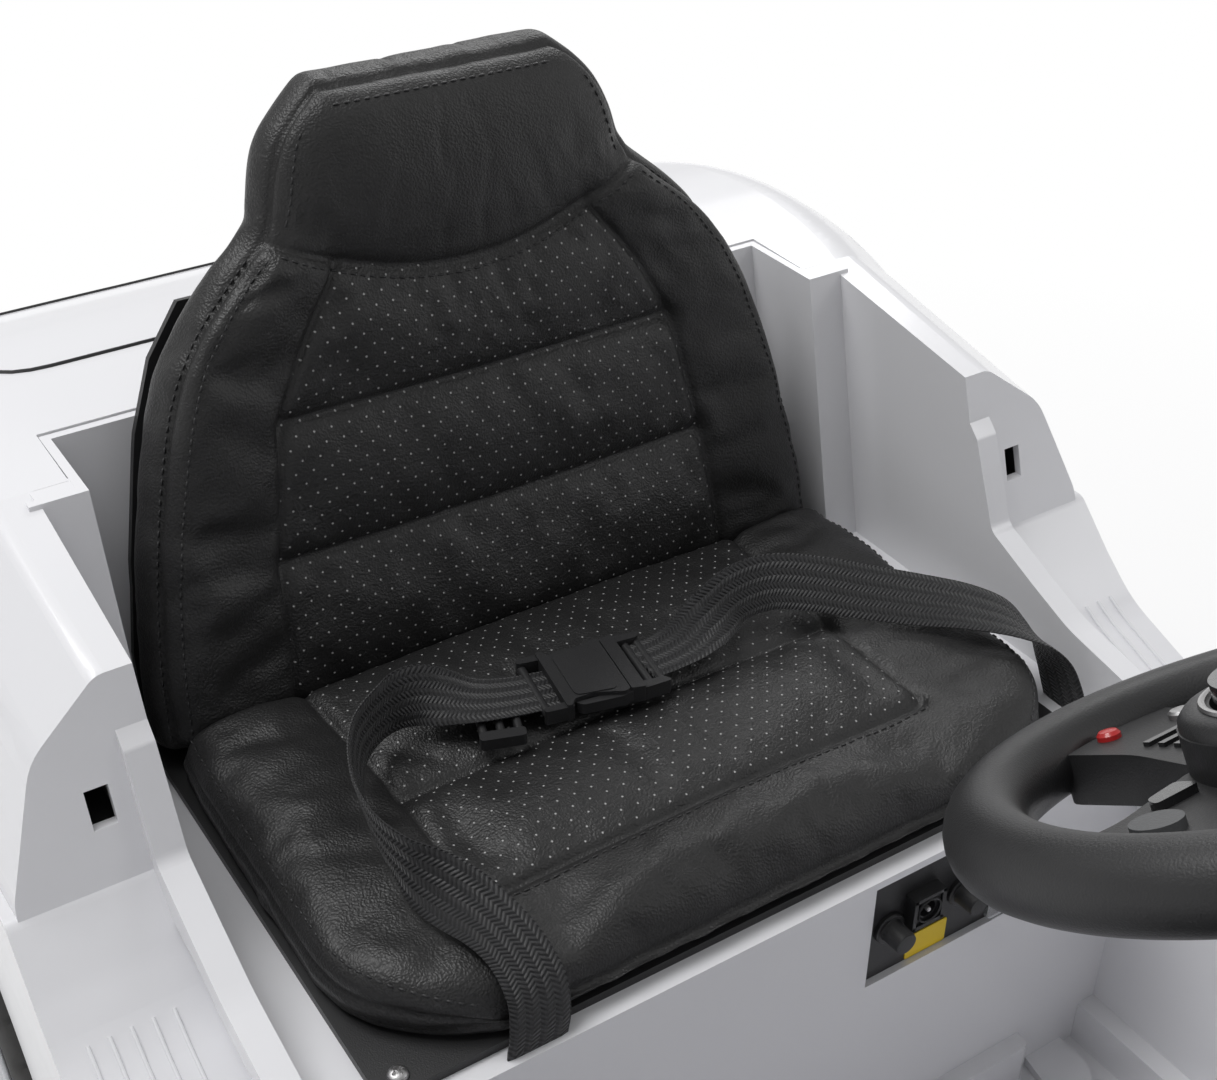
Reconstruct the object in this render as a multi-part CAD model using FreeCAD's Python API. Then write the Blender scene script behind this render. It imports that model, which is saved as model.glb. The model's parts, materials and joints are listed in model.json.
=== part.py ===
import FreeCAD, Part
import math
import os
from FreeCAD import Vector

# A child's electric ride-on car with open doors, in millimetres.
# +X is the car's left, -Y its front, +Z up; the origin is on the ground under the middle of the car.

# Shared clearances and walls
overrun = 4.0
running_gap = 0.05
moving_gap = 1.0
panel_gap = 0.5
soft_gap = 0.4
skin = 4.0

# Overall layout
overall_length = 1144.0
wheel_radius = 120.0
tyre_width = 60.0
nose_clear = 119.0
tail_clear = 88.0
firewall_clear = 29.0
axle_above_pan = 54.0
pan_height = 20.0
floor_sheet = 4.0
bumper_top_z = 150.0
nose_y = -overall_length / 2
tail_y = overall_length / 2
front_axle_y = nose_y + nose_clear + wheel_radius
rear_axle_y = tail_y - tail_clear - wheel_radius
firewall_y = front_axle_y + wheel_radius + firewall_clear
pan_bottom_z = wheel_radius - axle_above_pan
pan_top_z = pan_bottom_z + pan_height

# Seat reference: the seam where cushion and backrest meet, on the centre line
seam_ahead = 57.0
seam_rise = 16.0
recline_deg = 12.5
seat_half_width = 175.0
seat_depth = 198.0
shell_sheet = 4.0
shelf_z = 274.0
shelf_lip = 9.0
box_lap = 1.0
backrest_thickness = 42.0
seam_y = rear_axle_y - seam_ahead
seam_z = shelf_z + seam_rise
box_front_y = seam_y - seat_depth - shelf_lip
box_rear_y = seam_y + box_lap

# Cockpit sides
seat_side_room = 24.0
cockpit_half = seat_half_width + seat_side_room
inner_wall = 5.0
bead_width = 12.0
bead_depth = 12.0
sill_width = 67.0
sill_half = cockpit_half + sill_width
pillar_half = sill_half - skin
pillar_top_z = 394.0
pillar_top_ahead = 66.0
pillar_top_y = seam_y - pillar_top_ahead
pillar_foot_ahead = 90.0
pillar_foot_y = seam_y - pillar_foot_ahead
pillar_foot_z = 320.0
joint_behind = 38.0
rear_joint_y = seam_y + joint_behind
deck_z = 411.0
front_post_depth = 16.0
post_top_z = 446.0
ledge_front_z = 250.0
bead_front_z = 282.0
latch_hole_inset = 24.0
latch_hole_x = cockpit_half + latch_hole_inset
latch_hole_z = 348.0
latch_hole_width = 9.0
latch_hole_height = 15.0
ledge_round = 8.0
step_round = 60.0
recess_room = 5.0
ledge_shares = ((0.0, 1.0), (0.055, 0.70), (0.107, 0.46), (0.214, 0.24), (0.37, 0.06), (0.66, 0.0),
                (1.0, 0.0))
bead_shares = ((0.0, 1.0), (0.091, 0.82), (0.157, 0.55), (0.253, 0.36), (0.444, 0.15), (0.65, 0.05),
               (1.0, 0.0))

# Body shells
fender_swell = 22.0
fender_half = sill_half + fender_swell
nose_z = 365.0
cowl_z = 462.0
tail_z = 372.0
shoulder_fall = 76.0
shoulder_drop = 21.0
shoulder_out = 19.0
top_inset = 49.0
section_radii = (0.0, 0.0, 110.0, 40.0, 38.0, 38.0, 40.0, 110.0)
quarter_radii = (0.0, 0.0, 20.0, 24.0, 12.0, 0.0)
front_shares = ((0.0, 0.76, 0.0), (0.10, 0.88, 0.16), (0.34, 0.97, 0.46), (0.64, 1.0, 0.74),
                (1.0, 0.9236, 1.0))
rear_shares = ((0.0, 0.9236, 1.0), (0.38, 0.985, 1.04), (0.78, 0.93, 0.76), (1.0, 0.80, 0.0))
front_arch_clear = 30.0
front_arch_radius = wheel_radius + front_arch_clear
rear_arch_clear = 18.0
rear_arch_radius = wheel_radius + rear_arch_clear
tyre_inset = 48.0
wheel_centre_x = fender_half - tyre_inset

# Seat cushion and backrest forms, as shares of the seat's own sizes
cushion_rear_gap = 15.0
cushion_height = 24.0
cushion_crown = 4.0
cushion_side_bulge = 4.0
cushion_side_in = 6.0
bolster_rise = 3.0
panel_half_share = 0.62
channel_depth = 4.5
cushion_edge_share = 0.62
backrest_edge_share = 0.62
cushion_shares = ((0.0, 0.985, 0.78), (0.10, 1.0, 0.92), (0.34, 1.0, 0.96), (0.39, 0.985, None),
                  (0.44, 1.0, 0.98), (0.60, 1.0, 1.0), (0.754, 1.0, 1.0), (0.847, 0.981, 0.94),
                  (0.913, 0.94, 0.82), (0.956, 0.889, 0.68), (0.984, 0.834, 0.50), (1.0, 0.743, 0.30))
backrest_height = 262.0
backrest_crown = 6.0
backrest_bulge = 9.0
backrest_side_bulge = 3.0
backrest_side_in = 8.0
backrest_shares = ((0.0, 0.977, 0.66, 0.75), (0.12, 0.966, 0.65, 1.0), (0.232, 0.931, 0.63, 1.0),
                   (0.255, 0.926, 0.62, None),
                   (0.278, 0.92, 0.61, 1.0), (0.46, 0.851, 0.57, 1.0), (0.486, 0.84, 0.56, None),
                   (0.512, 0.823, 0.55, 1.0), (0.60, 0.766, 0.48, 0.95), (0.68, 0.669, 0.41, 0.85),
                   (0.735, 0.571, 0.36, 0.6),
                   (0.765, 0.514, 0.33, 1.0), (0.86, 0.457, 0.30, 1.1), (0.95, 0.383, 0.26, 0.9),
                   (1.0, 0.24, 0.15, 0.3))
shell_back_share = 0.70
seat_screw_inset = 10.0
seat_screw_front = 7.0
screw_head_radius = 4.0
screw_head_height = 2.5

# Lap belt: webbing, buckle and slide adjuster. Places are from the seam, across, back and up, as
# shares of the seat's half width and depth and of the cushion's height.
belt_width = 25.0
belt_sheet = 1.6
belt_left_shares = ((0.171, -0.434, 0.844), (0.297, -0.525, 0.854), (0.457, -0.606, 0.854),
                    (0.663, -0.646, 0.854), (0.857, -0.677, 0.833), (1.006, -0.707, 0.542),
                    (1.051, -0.725, 0.167), (1.054, -0.727, -0.208), (1.054, -0.727, -0.65))
belt_right_shares = ((-0.234, -0.444, 0.844), (-0.32, -0.434, 0.854), (-0.411, -0.404, 1.042),
                     (-0.514, -0.333, 1.583), (-0.589, -0.313, 1.5), (-0.674, -0.384, 1.0),
                     (-0.743, -0.545, 0.875), (-0.766, -0.758, 0.833), (-0.726, -0.919, 0.708),
                     (-0.68, -1.023, 0.25), (-0.669, -1.033, -0.208), (-0.669, -1.033, -0.65))
belt_left_across_shares = ((0.55, 0.83, 0.0), (0.70, 0.71, 0.0), (0.20, 0.98, 0.0), (0.10, 0.99, 0.0),
                           (0.12, 0.99, 0.0), (0.10, 0.99, 0.0), (0.05, 1.0, 0.0), (0.05, 1.0, 0.0),
                           (0.05, 1.0, 0.0))
belt_right_across_shares = ((-0.04, 1.0, 0.0), (0.2, 0.98, 0.0), (0.5, 0.86, 0.0), (0.75, 0.6, 0.3),
                            (0.95, 0.0, 0.3), (1.0, -0.1, 0.05), (1.0, -0.1, 0.0), (1.0, 0.02, 0.0),
                            (0.96, 0.28, 0.0), (0.95, 0.31, 0.0), (1.0, 0.0, 0.0), (1.0, 0.0, 0.0))
buckle_length = 40.0
buckle_width = 34.0
buckle_height = 9.0
buckle_slot_height = 5.0
buckle_wall = 2.0
tongue_overlap = 14.0
buckle_turn_deg = 4.0
buckle_shares = (-0.029, -0.434, 0.656)
adjuster_length = 9.0
adjuster_bar = 3.0

# Charging panel in the seat box's front wall
charge_x = 42.0
charge_width = 84.0
charge_top_z = 270.0
charge_height = 57.0
charge_recess = 3.0
peg_radius = 5.0
peg_length = 12.0
peg_row_share = 0.52
socket_row_share = 0.42
cover_row_share = 0.60
peg_shares = (0.14, 0.62)
socket_side = 17.0
socket_length = 5.0
socket_bore = 4.2
socket_pin_radius = 1.0
socket_share = 0.34
cover_screw_share = 0.88
cover_size = 24.0
cover_sheet = 2.0
cover_screw_radius = 2.5
cover_head_radius = 5.0
cover_standoff = 9.0

# Steering
wheel_reach = 94.0
wheel_hub_y = firewall_y + wheel_reach
wheel_hub_z = 498.0
wheel_rim_radius = 97.0
rim_grip_radius = 12.0
hub_radius = 34.0
hub_depth = 22.0
spoke_width = 26.0
spoke_depth = 12.0
spoke_angles_deg = (0.0, 90.0, 180.0)
column_radius = 7.0
crank_radius = 30.0
crank_plate = 8.0
crank_pin_radius = 4.0
crank_pin_reach = 11.0
crank_standoff = 14.0
steering_arm = 45.0
bush_radius = 14.0
bush_length = 22.0
horn_radius = 24.0
horn_height = 5.0
horn_travel = 2.5
key_radius = 6.5
key_height = 3.0
key_travel = 1.5
key_reach_share = 0.62

# Front axle
kingpin_inset = 54.0
kingpin_x = wheel_centre_x - kingpin_inset
kingpin_radius = 6.0
barrel_radius = 13.0
barrel_height = 30.0
ear_thickness = 6.0
beam_width = 24.0
beam_height = 26.0
fork_inset = 36.0
axle_radius = 6.0
arm_width = 12.0
arm_thickness = 8.0
arm_pin_radius = 5.0
arm_pin_height = 8.0
tie_width = 18.0
tie_thickness = 4.0
tie_slot_room = 4.0
tie_slot_lead = 1.0
slot_round_share = 0.9
steer_slot_gap = 0.9
stub_shoulder = 9.0

# Wheels
rim_radius = 78.0
rim_wall = 6.0
rim_width = 54.0
spoke_disc = 9.0
disc_offset = 14.0
hub_boss_radius = 21.0
hub_back = 26.0
wheel_spokes = 5
window_pinch_share = 0.55
window_inner_share = 0.42
window_outer_share = 0.84
window_half_deg = 23.0
window_corner = 7.0
tyre_shoulder = 14.0
cap_radius = 27.0
cap_height = 8.0
cap_pocket_radius = 14.0
cap_pocket_depth = 6.0
nut_radius = 10.0
nut_height = 5.0

# Drive
gear_module = 1.0
drive_teeth = 54
pinion_teeth = 12
gear_face = 12.0
gear_inset = 70.0
gear_plane_x = wheel_centre_x - gear_inset
gear_lean_deg = 35.0
gear_backlash = 0.25
pressure_deg = 20.0
flank_steps = 4
root_share = 1.25
drive_hub_radius = 20.0
case_inner_gap = 18.0
case_inner_x = gear_plane_x - case_inner_gap
case_outer_gap = 30.0
case_outer_x = gear_plane_x + case_outer_gap
case_wall = 4.0
case_room = 4.0
motor_radius = 19.0
motor_length = 58.0
motor_shaft_radius = 3.0
battery_size = (151.0, 65.0, 94.0)
battery_back = 80.0
battery_y = box_front_y + battery_back
tab_share = 0.33
tab_half_width = 4.0
tab_half_sheet = 1.0
tab_height = 8.0
control_size = (96.0, 62.0, 34.0)
control_ahead = 46.0
control_y = box_rear_y - control_ahead

# Doors, modelled shut and then swung open
door_axis_inset = 16.0
door_axis_x = sill_half - door_axis_inset
door_axis_back = 34.0
door_axis_y = firewall_y + door_axis_back
door_barrel_radius = 15.0
door_inner_gap = 15.0
door_inner_x = cockpit_half + door_inner_gap
door_outer_x = sill_half - moving_gap
door_open_deg = 60.0
door_gap = 3.0
door_front_z = 452.0
door_start = 20.0
door_pin_radius = 4.0
lug_height = 14.0

# Dash, screen, mirrors and lamps
dash_side_gap = 5.0
dash_half = cockpit_half - dash_side_gap
dash_depth = 44.0
dash_bottom_z = 384.0
dash_top_z = 458.0
dash_round = 18.0
column_room = 2.0
button_x = 96.0
button_z = 422.0
button_radius = 9.0
button_stand = 4.0
button_depth = 14.0
button_travel = 3.0
rocker_x = -96.0
rocker_radius = 12.0
rocker_width = 18.0
rocker_sink = 5.0
screen_overlap = 6.0
screen_half = cockpit_half + screen_overlap
screen_ahead = 44.0
screen_foot_y = firewall_y - screen_ahead
screen_foot_z = 440.0
screen_lean = 8.0
screen_top_y = firewall_y + screen_lean
screen_top_z = 540.0
screen_sheet = 5.0
screen_corner = 40.0
screen_taper_share = 0.92
mirror_ahead = 30.0
mirror_y = firewall_y - mirror_ahead
mirror_z = 478.0
mirror_x = fender_half - skin
mirror_width = 66.0
mirror_height = 42.0
mirror_depth = 30.0
mirror_corner = 14.0
mirror_rim = 4.0
mirror_arm_radius = 8.0
lamp_inset = 42.0
lamp_width = 124.0
lamp_outer_x = fender_half - lamp_inset
lamp_inner_x = lamp_outer_x - lamp_width
lamp_low_z = 288.0
lamp_high_z = 334.0
lamp_depth = 84.0
bowl_wall = 12.0
lamp_gap = 18.0
grille_half = lamp_inner_x - lamp_gap
grille_low_z = 196.0
grille_high_z = 338.0
grille_bars = 5
grille_slot_share = 0.55
tail_inset = 36.0
tail_width = 102.0
tail_outer_x = fender_half - tail_inset
tail_inner_x = tail_outer_x - tail_width
tail_low_z = 252.0
tail_high_z = 318.0
bumper_inset = 52.0
bumper_half = fender_half - bumper_inset
bumper_taper = 40.0
bumper_nose_half = bumper_half - bumper_taper
bumper_depth = 84.0
bumper_round = 34.0

# Chassis pan outline, half widths
pan_front_gap = 28.0
pan_front_half = kingpin_x - pan_front_gap
pan_side_gap = 8.0
pan_mid_half = sill_half - pan_side_gap
pan_rear_half = cockpit_half + inner_wall
pan_end_gap = 26.0
pan_neck_front_y = firewall_y - skin
pan_neck_clear = 12.0
pan_neck_rear_y = rear_axle_y - rear_arch_radius - pan_neck_clear
pan_rib = 6.0

# Floor ribs and pedal
rib_length = 150.0
rib_width = 34.0
rib_height = 9.0
rib_round = 6.0
rib_back = 114.0
rib_front_y = firewall_y + rib_back
rib_places_share = (-0.72, -0.26, 0.26, 0.72)
pedal_x = -92.0
pedal_back = 74.0
pedal_pivot_y = firewall_y + pedal_back
pedal_pivot_rise = 12.0
pedal_width = 70.0
pedal_length = 74.0
pedal_sheet = 7.0
pedal_slope_deg = 38.0
pedal_pin_radius = 4.0
pedal_ear = 8.0

x_axis = Vector(1, 0, 0)
y_axis = Vector(0, 1, 0)
z_axis = Vector(0, 0, 1)


def block(x_span, y_span, z_span):
    size = [high - low for low, high in (x_span, y_span, z_span)]
    return Part.makeBox(size[0], size[1], size[2], Vector(x_span[0], y_span[0], z_span[0]))


def rod(start, end, radius):
    along = end - start
    return Part.makeCylinder(radius, along.Length, start, along)


def mirrored(shape):
    return shape.mirror(Vector(0, 0, 0), x_axis)


def both_sides(shape):
    return Part.makeCompound([shape, mirrored(shape)])


def on_yz(x):
    return lambda point: Vector(x, point[0], point[1])


def on_xz(y):
    return lambda point: Vector(point[0], y, point[1])


def on_xy(z):
    return lambda point: Vector(point[0], point[1], z)


def round_corner(before, here, after, radius):
    here = Vector(here[0], here[1], 0)
    if radius == 0:
        return here, None, here
    towards = (Vector(before[0], before[1], 0) - here).normalize()
    away = (Vector(after[0], after[1], 0) - here).normalize()
    half = towards.getAngle(away) / 2
    reach = radius / math.tan(half)
    bisector = (towards + away).normalize()
    middle = here + bisector * (radius / math.sin(half) - radius)
    return here + towards * reach, middle, here + away * reach


def outline(points, radii, place):
    # A closed outline of straight runs whose corners are arcs.
    count = len(points)
    if not isinstance(radii, tuple):
        radii = (radii,) * count
    corners = [round_corner(points[i - 1], points[i], points[(i + 1) % count],
                            radii[i]) for i in range(count)]
    edges = []
    for i, (first, middle, last) in enumerate(corners):
        if middle is not None:
            edges.append(Part.Arc(place(first), place(middle), place(last)).toShape())
        onward = corners[(i + 1) % count][0]
        if (onward - last).Length > running_gap:
            edges.append(Part.LineSegment(place(last), place(onward)).toShape())
    return Part.Wire(edges)


def prism(points, radii, place, along):
    return Part.Face(outline(points, radii, place)).extrude(along)


def fused(first, *others):
    return first.multiFuse(list(others)).removeSplitter()


def less(shape, *cuts):
    return shape.cut(list(cuts)) if len(cuts) > 1 else shape.cut(cuts[0])


def spread(shares, start, end, low, high):
    # Turns pairs of shares into points between two places and two heights.
    return [(start + (end - start) * along, low + (high - low) * up) for along, up in shares]


def body_section(y, half, top, bottom):
    right = [(half, bottom), (half, top - shoulder_fall), (half - shoulder_out, top - shoulder_drop),
             (half - top_inset, top)]
    left = [(-x, z) for x, z in reversed(right)]
    return outline([left[-1]] + right + left[:-1], section_radii, on_xz(y))


def envelope(stations, inset, open_end):
    # One smooth skin through the stations; an inset one is its hollow, open below and at open_end.
    wires = []
    for y, half, top in stations:
        if inset:
            y = y + open_end * overrun if y * open_end == max(s[0] * open_end for s in stations) else y
            y = y + open_end * inset if y * open_end == min(s[0] * open_end for s in stations) else y
        bottom = bumper_top_z - overrun if inset else bumper_top_z
        wires.append(body_section(y, half - inset, top - inset, bottom))
    return Part.makeLoft(wires, True, False)


def front_envelope(inset):
    length = firewall_y - nose_y
    stations = [(nose_y + length * along, fender_half * wide, nose_z + (cowl_z - nose_z) * up)
                for along, wide, up in front_shares]
    return envelope(stations, inset, 1)


def rear_envelope(inset):
    length = tail_y - rear_joint_y
    stations = [(rear_joint_y + length * along, fender_half * wide, tail_z + (deck_z - tail_z) * up)
                for along, wide, up in rear_shares]
    return envelope(stations, inset, -1)


def arch(axle_y, radius):
    reach = fender_half + overrun
    return rod(Vector(-reach, axle_y, wheel_radius), Vector(reach, axle_y, wheel_radius), radius)


def window(inner, outer, y_span, z_span, grow):
    y_span = (y_span[0] - grow, y_span[1] + grow)
    z_span = (z_span[0] - grow, z_span[1] + grow)
    return both_sides(block((inner - grow, outer + grow), y_span, z_span))


def headlamp_window(grow):
    return window(lamp_inner_x, lamp_outer_x, (nose_y - overrun, nose_y + lamp_depth),
                  (lamp_low_z, lamp_high_z), grow)


def taillamp_window(grow):
    return window(tail_inner_x, tail_outer_x, (tail_y - lamp_depth, tail_y + overrun),
                  (tail_low_z, tail_high_z), grow)


def grille_window(grow):
    reach = grille_half + grow
    return block((-reach, reach), (nose_y - overrun, nose_y + skin + overrun),
                 (grille_low_z - grow, grille_high_z + grow))


def front_shell():
    return less(front_envelope(0), front_envelope(skin))


def rear_shell():
    return less(rear_envelope(0), rear_envelope(skin))


def front_body():
    return less(front_shell(), arch(front_axle_y, front_arch_radius), headlamp_window(panel_gap),
                grille_window(panel_gap))


def rear_body():
    pocket = prism(rear_wall_points(panel_gap, True), 0.0, on_backrest(-backrest_thickness),
                   recline_vector(backrest_height))
    return less(rear_shell(), arch(rear_axle_y, rear_arch_radius), taillamp_window(panel_gap), pocket)


def grille():
    plate = front_shell().common(grille_window(0))
    pitch = (grille_high_z - grille_low_z) / grille_bars
    slots = []
    for bar in range(grille_bars):
        low = grille_low_z + pitch * (bar + (1 - grille_slot_share) / 2)
        slots.append(block((-grille_half + skin, grille_half - skin),
                           (nose_y - overrun, nose_y + skin + overrun),
                           (low, low + pitch * grille_slot_share)))
    return less(plate, *slots)


def headlight_lenses():
    return front_shell().common(headlamp_window(0))


def headlight_bowls():
    inner = front_envelope(skin).common(headlamp_window(-skin))
    return less(inner, front_envelope(skin + bowl_wall))


def taillight_lenses():
    return rear_shell().common(taillamp_window(0))


def bumper(inset):
    half = bumper_half - inset
    nose_half = bumper_nose_half - inset
    front = nose_y + inset
    back = nose_y + bumper_depth + (overrun if inset else 0)
    turn = front + bumper_round
    points = [(-half, back), (-half, turn + bumper_round), (-nose_half, front), (nose_half, front),
              (half, turn + bumper_round), (half, back)]
    radii = (0.0, bumper_round, bumper_round, bumper_round, bumper_round, 0.0)
    base = pan_top_z - (overrun if inset else 0)
    return prism(points, radii, on_xy(base),
                 z_axis * (bumper_top_z - skin - base if inset else bumper_top_z - base))


def bumpers():
    front = less(bumper(0), bumper(skin))
    rear = front.mirror(Vector(0, 0, 0), y_axis)
    return Part.makeCompound([front, rear])


def chassis_pan():
    def plate(inset, low, high):
        ends = overall_length / 2 - pan_end_gap - inset
        front = pan_front_half - inset
        middle = pan_mid_half - inset
        rear = pan_rear_half - inset
        neck_front = pan_neck_front_y + inset
        neck_rear = pan_neck_rear_y - inset
        right = [(front, -ends), (front, neck_front), (middle, neck_front), (middle, neck_rear),
                 (rear, neck_rear),
                 (rear, ends)]
        left = [(-x, y) for x, y in reversed(right)]
        return prism(right + left, 0.0, on_xy(low), z_axis * (high - low))

    tray = less(plate(0, pan_bottom_z, pan_top_z),
                plate(pan_rib, pan_bottom_z + floor_sheet, pan_top_z + overrun))
    ribs = []
    for y in (front_axle_y, pan_neck_front_y, box_front_y, rear_axle_y + drive_room()):
        ribs.append(block((-pan_front_half, pan_front_half), (y - pan_rib, y + pan_rib),
                          (pan_bottom_z, pan_top_z)))
    bearers = block((pan_front_half - pan_rib, pan_rear_half - pan_rib),
                    (box_rear_y, rear_axle_y + drive_room()),
                    (pan_bottom_z, pan_top_z))
    return fused(tray, *ribs, bearers, mirrored(bearers))


def ledge_line():
    return spread(ledge_shares, pillar_foot_y, firewall_y + front_post_depth, ledge_front_z,
                  pillar_foot_z)


def bead_line():
    return spread(bead_shares, pillar_foot_y, firewall_y + front_post_depth, bead_front_z, pillar_foot_z)


def sill(inset):
    # The hollow box under the door, its step falling forward from the pillar's foot, and the front post.
    base = pan_top_z - (overrun if inset else 0)
    rear = rear_joint_y + (overrun if inset else 0)
    step = [(y, z - inset) for y, z in ledge_line()]
    step[-1] = (step[-1][0] - inset, step[-1][1])
    points = [(firewall_y + inset, base), (rear, base), (rear, pillar_foot_z - inset)] + step
    points += [(step[-1][0], post_top_z - inset), (firewall_y + inset, post_top_z - inset)]
    radii = (0.0, 0.0, 0.0, ledge_round) + (step_round,) * (len(step) - 2) + (0.0, 0.0, 0.0)
    start = cockpit_half + inner_wall
    return prism(points, radii, on_yz(start), x_axis * (sill_half - inset - start))


def pillar_slope(z):
    lean = (pillar_top_y - pillar_foot_y) / (pillar_top_z - pillar_foot_z)
    return pillar_foot_y + (z - pillar_foot_z) * lean


def behind_pillar(shift):
    low = pillar_foot_z - shoulder_fall
    high = deck_z + shoulder_fall
    back = rear_joint_y + (overrun if shift else 0)
    points = [(pillar_slope(low) + shift, low), (back, low), (back, high),
              (pillar_slope(high) + shift, high)]
    return prism(points, 0.0, on_yz(0), x_axis * fender_half)


def quarter_section(y, half, top, inset):
    start = cockpit_half + (inner_wall if inset else 0)
    low = pillar_foot_z - skin - (overrun if inset else 0)
    half = half - inset
    top = top - inset
    waist = max(top - shoulder_fall, pillar_foot_z + skin)
    points = [(start, low), (half, low), (half, waist), (half - shoulder_out, top - shoulder_drop),
              (half - top_inset, top), (start, top)]
    return outline(points, quarter_radii, on_xz(y))


def quarter(inset):
    # The rounded flank behind the door, from the sloping pillar face back to the rear body.
    climb = (deck_z - pillar_top_z) / (rear_joint_y - pillar_top_y)
    wires = []
    for y in (pillar_foot_y - overrun, rear_joint_y + overrun):
        top = pillar_top_z + (y - pillar_top_y) * climb
        along = (y - pillar_top_y) / (rear_joint_y - pillar_top_y)
        half = pillar_half + (sill_half - pillar_half) * along
        wires.append(quarter_section(y, half, top, inset))
    return Part.makeLoft(wires, True, True).common(behind_pillar(inset))


def inner_side():
    bead = bead_line()
    points = [(firewall_y, pan_top_z), (box_rear_y, pan_top_z), (box_rear_y, shelf_z - skin),
              (rear_joint_y, shelf_z - skin),
              (rear_joint_y, deck_z), (pillar_top_y, pillar_top_z)] + bead
    points += [(bead[-1][0], post_top_z), (firewall_y, post_top_z)]
    return prism(points, 0.0, on_yz(cockpit_half), x_axis * inner_wall)


def bead():
    # The raised lip that runs down the pillar's inner edge and forward along the sill.
    line = bead_line()
    top_z = pillar_top_z - shoulder_drop
    upper = [(pillar_slope(top_z), top_z), (pillar_slope(top_z) - bead_depth / 2, top_z - bead_depth / 2),
             (pillar_foot_y - bead_depth / 2, pillar_foot_z + bead_depth / 2)] + line[1:]
    lower = [(y, z - bead_depth) for y, z in reversed(line[1:])]
    lower += [(pillar_foot_y + skin, pillar_foot_z - bead_depth), (pillar_slope(top_z) + skin, top_z)]
    radii = (0.0, skin, ledge_round) + (step_round,) * (len(line) - 2) + (0.0,) * (len(lower) + 1)
    return prism(upper + lower, radii, on_yz(cockpit_half), x_axis * bead_width)


def on_backrest(up):
    # Points given as across and back, square to the reclined backrest, at a height along it.
    lean = math.radians(recline_deg)

    def place(point):
        back = point[1] * math.cos(lean) + up * math.sin(lean)
        rise = up * math.cos(lean) - point[1] * math.sin(lean)
        return Vector(point[0], seam_y + back, seam_z + rise)
    return place


def recline_vector(length):
    lean = math.radians(recline_deg)
    return Vector(0, math.sin(lean), math.cos(lean)) * length


def rear_wall_points(grow, filled):
    outer = cockpit_half + inner_wall
    half = seat_half_width + recess_room
    deep = backrest_thickness + shell_sheet
    if filled:
        return [(half + skin + grow, -overrun), (half + skin + grow, deep + skin + grow),
                (-half - skin - grow, deep + skin + grow), (-half - skin - grow, -overrun)]
    right = [(half, 0), (outer, 0), (outer, skin), (half + skin, skin), (half + skin, deep + skin)]
    left = [(-x, n) for x, n in reversed(right)]
    return right + left + [(-half, deep), (half, deep)]


def rear_wall():
    wall = prism(rear_wall_points(0, False), 0.0, on_backrest(-backrest_thickness),
                 recline_vector(backrest_height))
    reach = sill_half
    return wall.common(block((-reach, reach), (0, tail_y), (shelf_z - skin, deck_z)))


def floor_ribs():
    ribs = []
    for share in rib_places_share:
        x = cockpit_half * share
        y_span = (rib_front_y, rib_front_y + rib_length)
        rib = block((x - rib_width / 2, x + rib_width / 2), y_span,
                    (pan_top_z, pan_top_z + floor_sheet + rib_height))
        upright = [edge for edge in rib.Edges if edge.BoundBox.ZLength > rib_height]
        ribs.append(rib.makeFillet(rib_round, upright))
    return ribs


def charge_span(grow):
    return (charge_x - grow, charge_x + charge_width + grow), (charge_top_z - charge_height - grow,
                                                               charge_top_z + grow)


def cockpit_tub():
    half = cockpit_half + inner_wall
    floor = block((-half, half), (firewall_y, box_rear_y), (pan_top_z, pan_top_z + floor_sheet))
    firewall = block((-half, half), (firewall_y, firewall_y + skin), (pan_top_z, post_top_z))
    box_front = block((-half, half), (box_front_y, box_front_y + skin), (pan_top_z, shelf_z))
    box_rear = block((-half, half), (box_rear_y - skin, box_rear_y), (pan_top_z, shelf_z))
    shelf = block((-half, half), (box_front_y, box_rear_y), (shelf_z - skin, shelf_z))
    recess_half = seat_half_width + recess_room + skin
    shelf_rear = block((-recess_half, recess_half), (box_rear_y - skin, seam_y + backrest_thickness),
                       (shelf_z - skin, shelf_z))
    side = fused(sill(0), quarter(0), inner_side(), bead(), *hinge_lugs())
    side = less(side, sill(skin), quarter(skin), latch_hole(), arch(rear_axle_y, rear_arch_radius),
                door_pin())
    tub = fused(floor, firewall, box_front, box_rear, shelf, shelf_rear, rear_wall(), side,
                mirrored(side), *floor_ribs(),
                *pedal_ears())
    charge_x_span, charge_z_span = charge_span(0)
    panel_hole = block(charge_x_span, (box_front_y - overrun, box_front_y + skin + overrun),
                       charge_z_span)
    return less(tub, panel_hole, column_rod(bush_radius), pedal_pin(running_gap))


def latch_hole():
    half_width = latch_hole_width / 2
    half_height = latch_hole_height / 2
    return block((latch_hole_x - half_width, latch_hole_x + half_width),
                 (pillar_foot_y - overrun, pillar_top_y + overrun),
                 (latch_hole_z - half_height, latch_hole_z + half_height))


def hinge_lugs():
    x_span = (door_axis_x - door_barrel_radius + skin, door_axis_x + door_barrel_radius - skin)
    y_span = (firewall_y + front_post_depth - skin, door_axis_y + door_barrel_radius - skin)
    low = block(x_span, y_span, (ledge_front_z - skin, door_low_z() - moving_gap))
    high = block(x_span, y_span, (door_high_z() + moving_gap, door_high_z() + moving_gap + lug_height))
    return low, high


def door_low_z():
    return ledge_front_z + lug_height


def door_high_z():
    return post_top_z - 2 * lug_height


def door_pin():
    return rod(Vector(door_axis_x, door_axis_y, ledge_front_z - skin),
               Vector(door_axis_x, door_axis_y, door_high_z() + moving_gap + lug_height), door_pin_radius)


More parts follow.
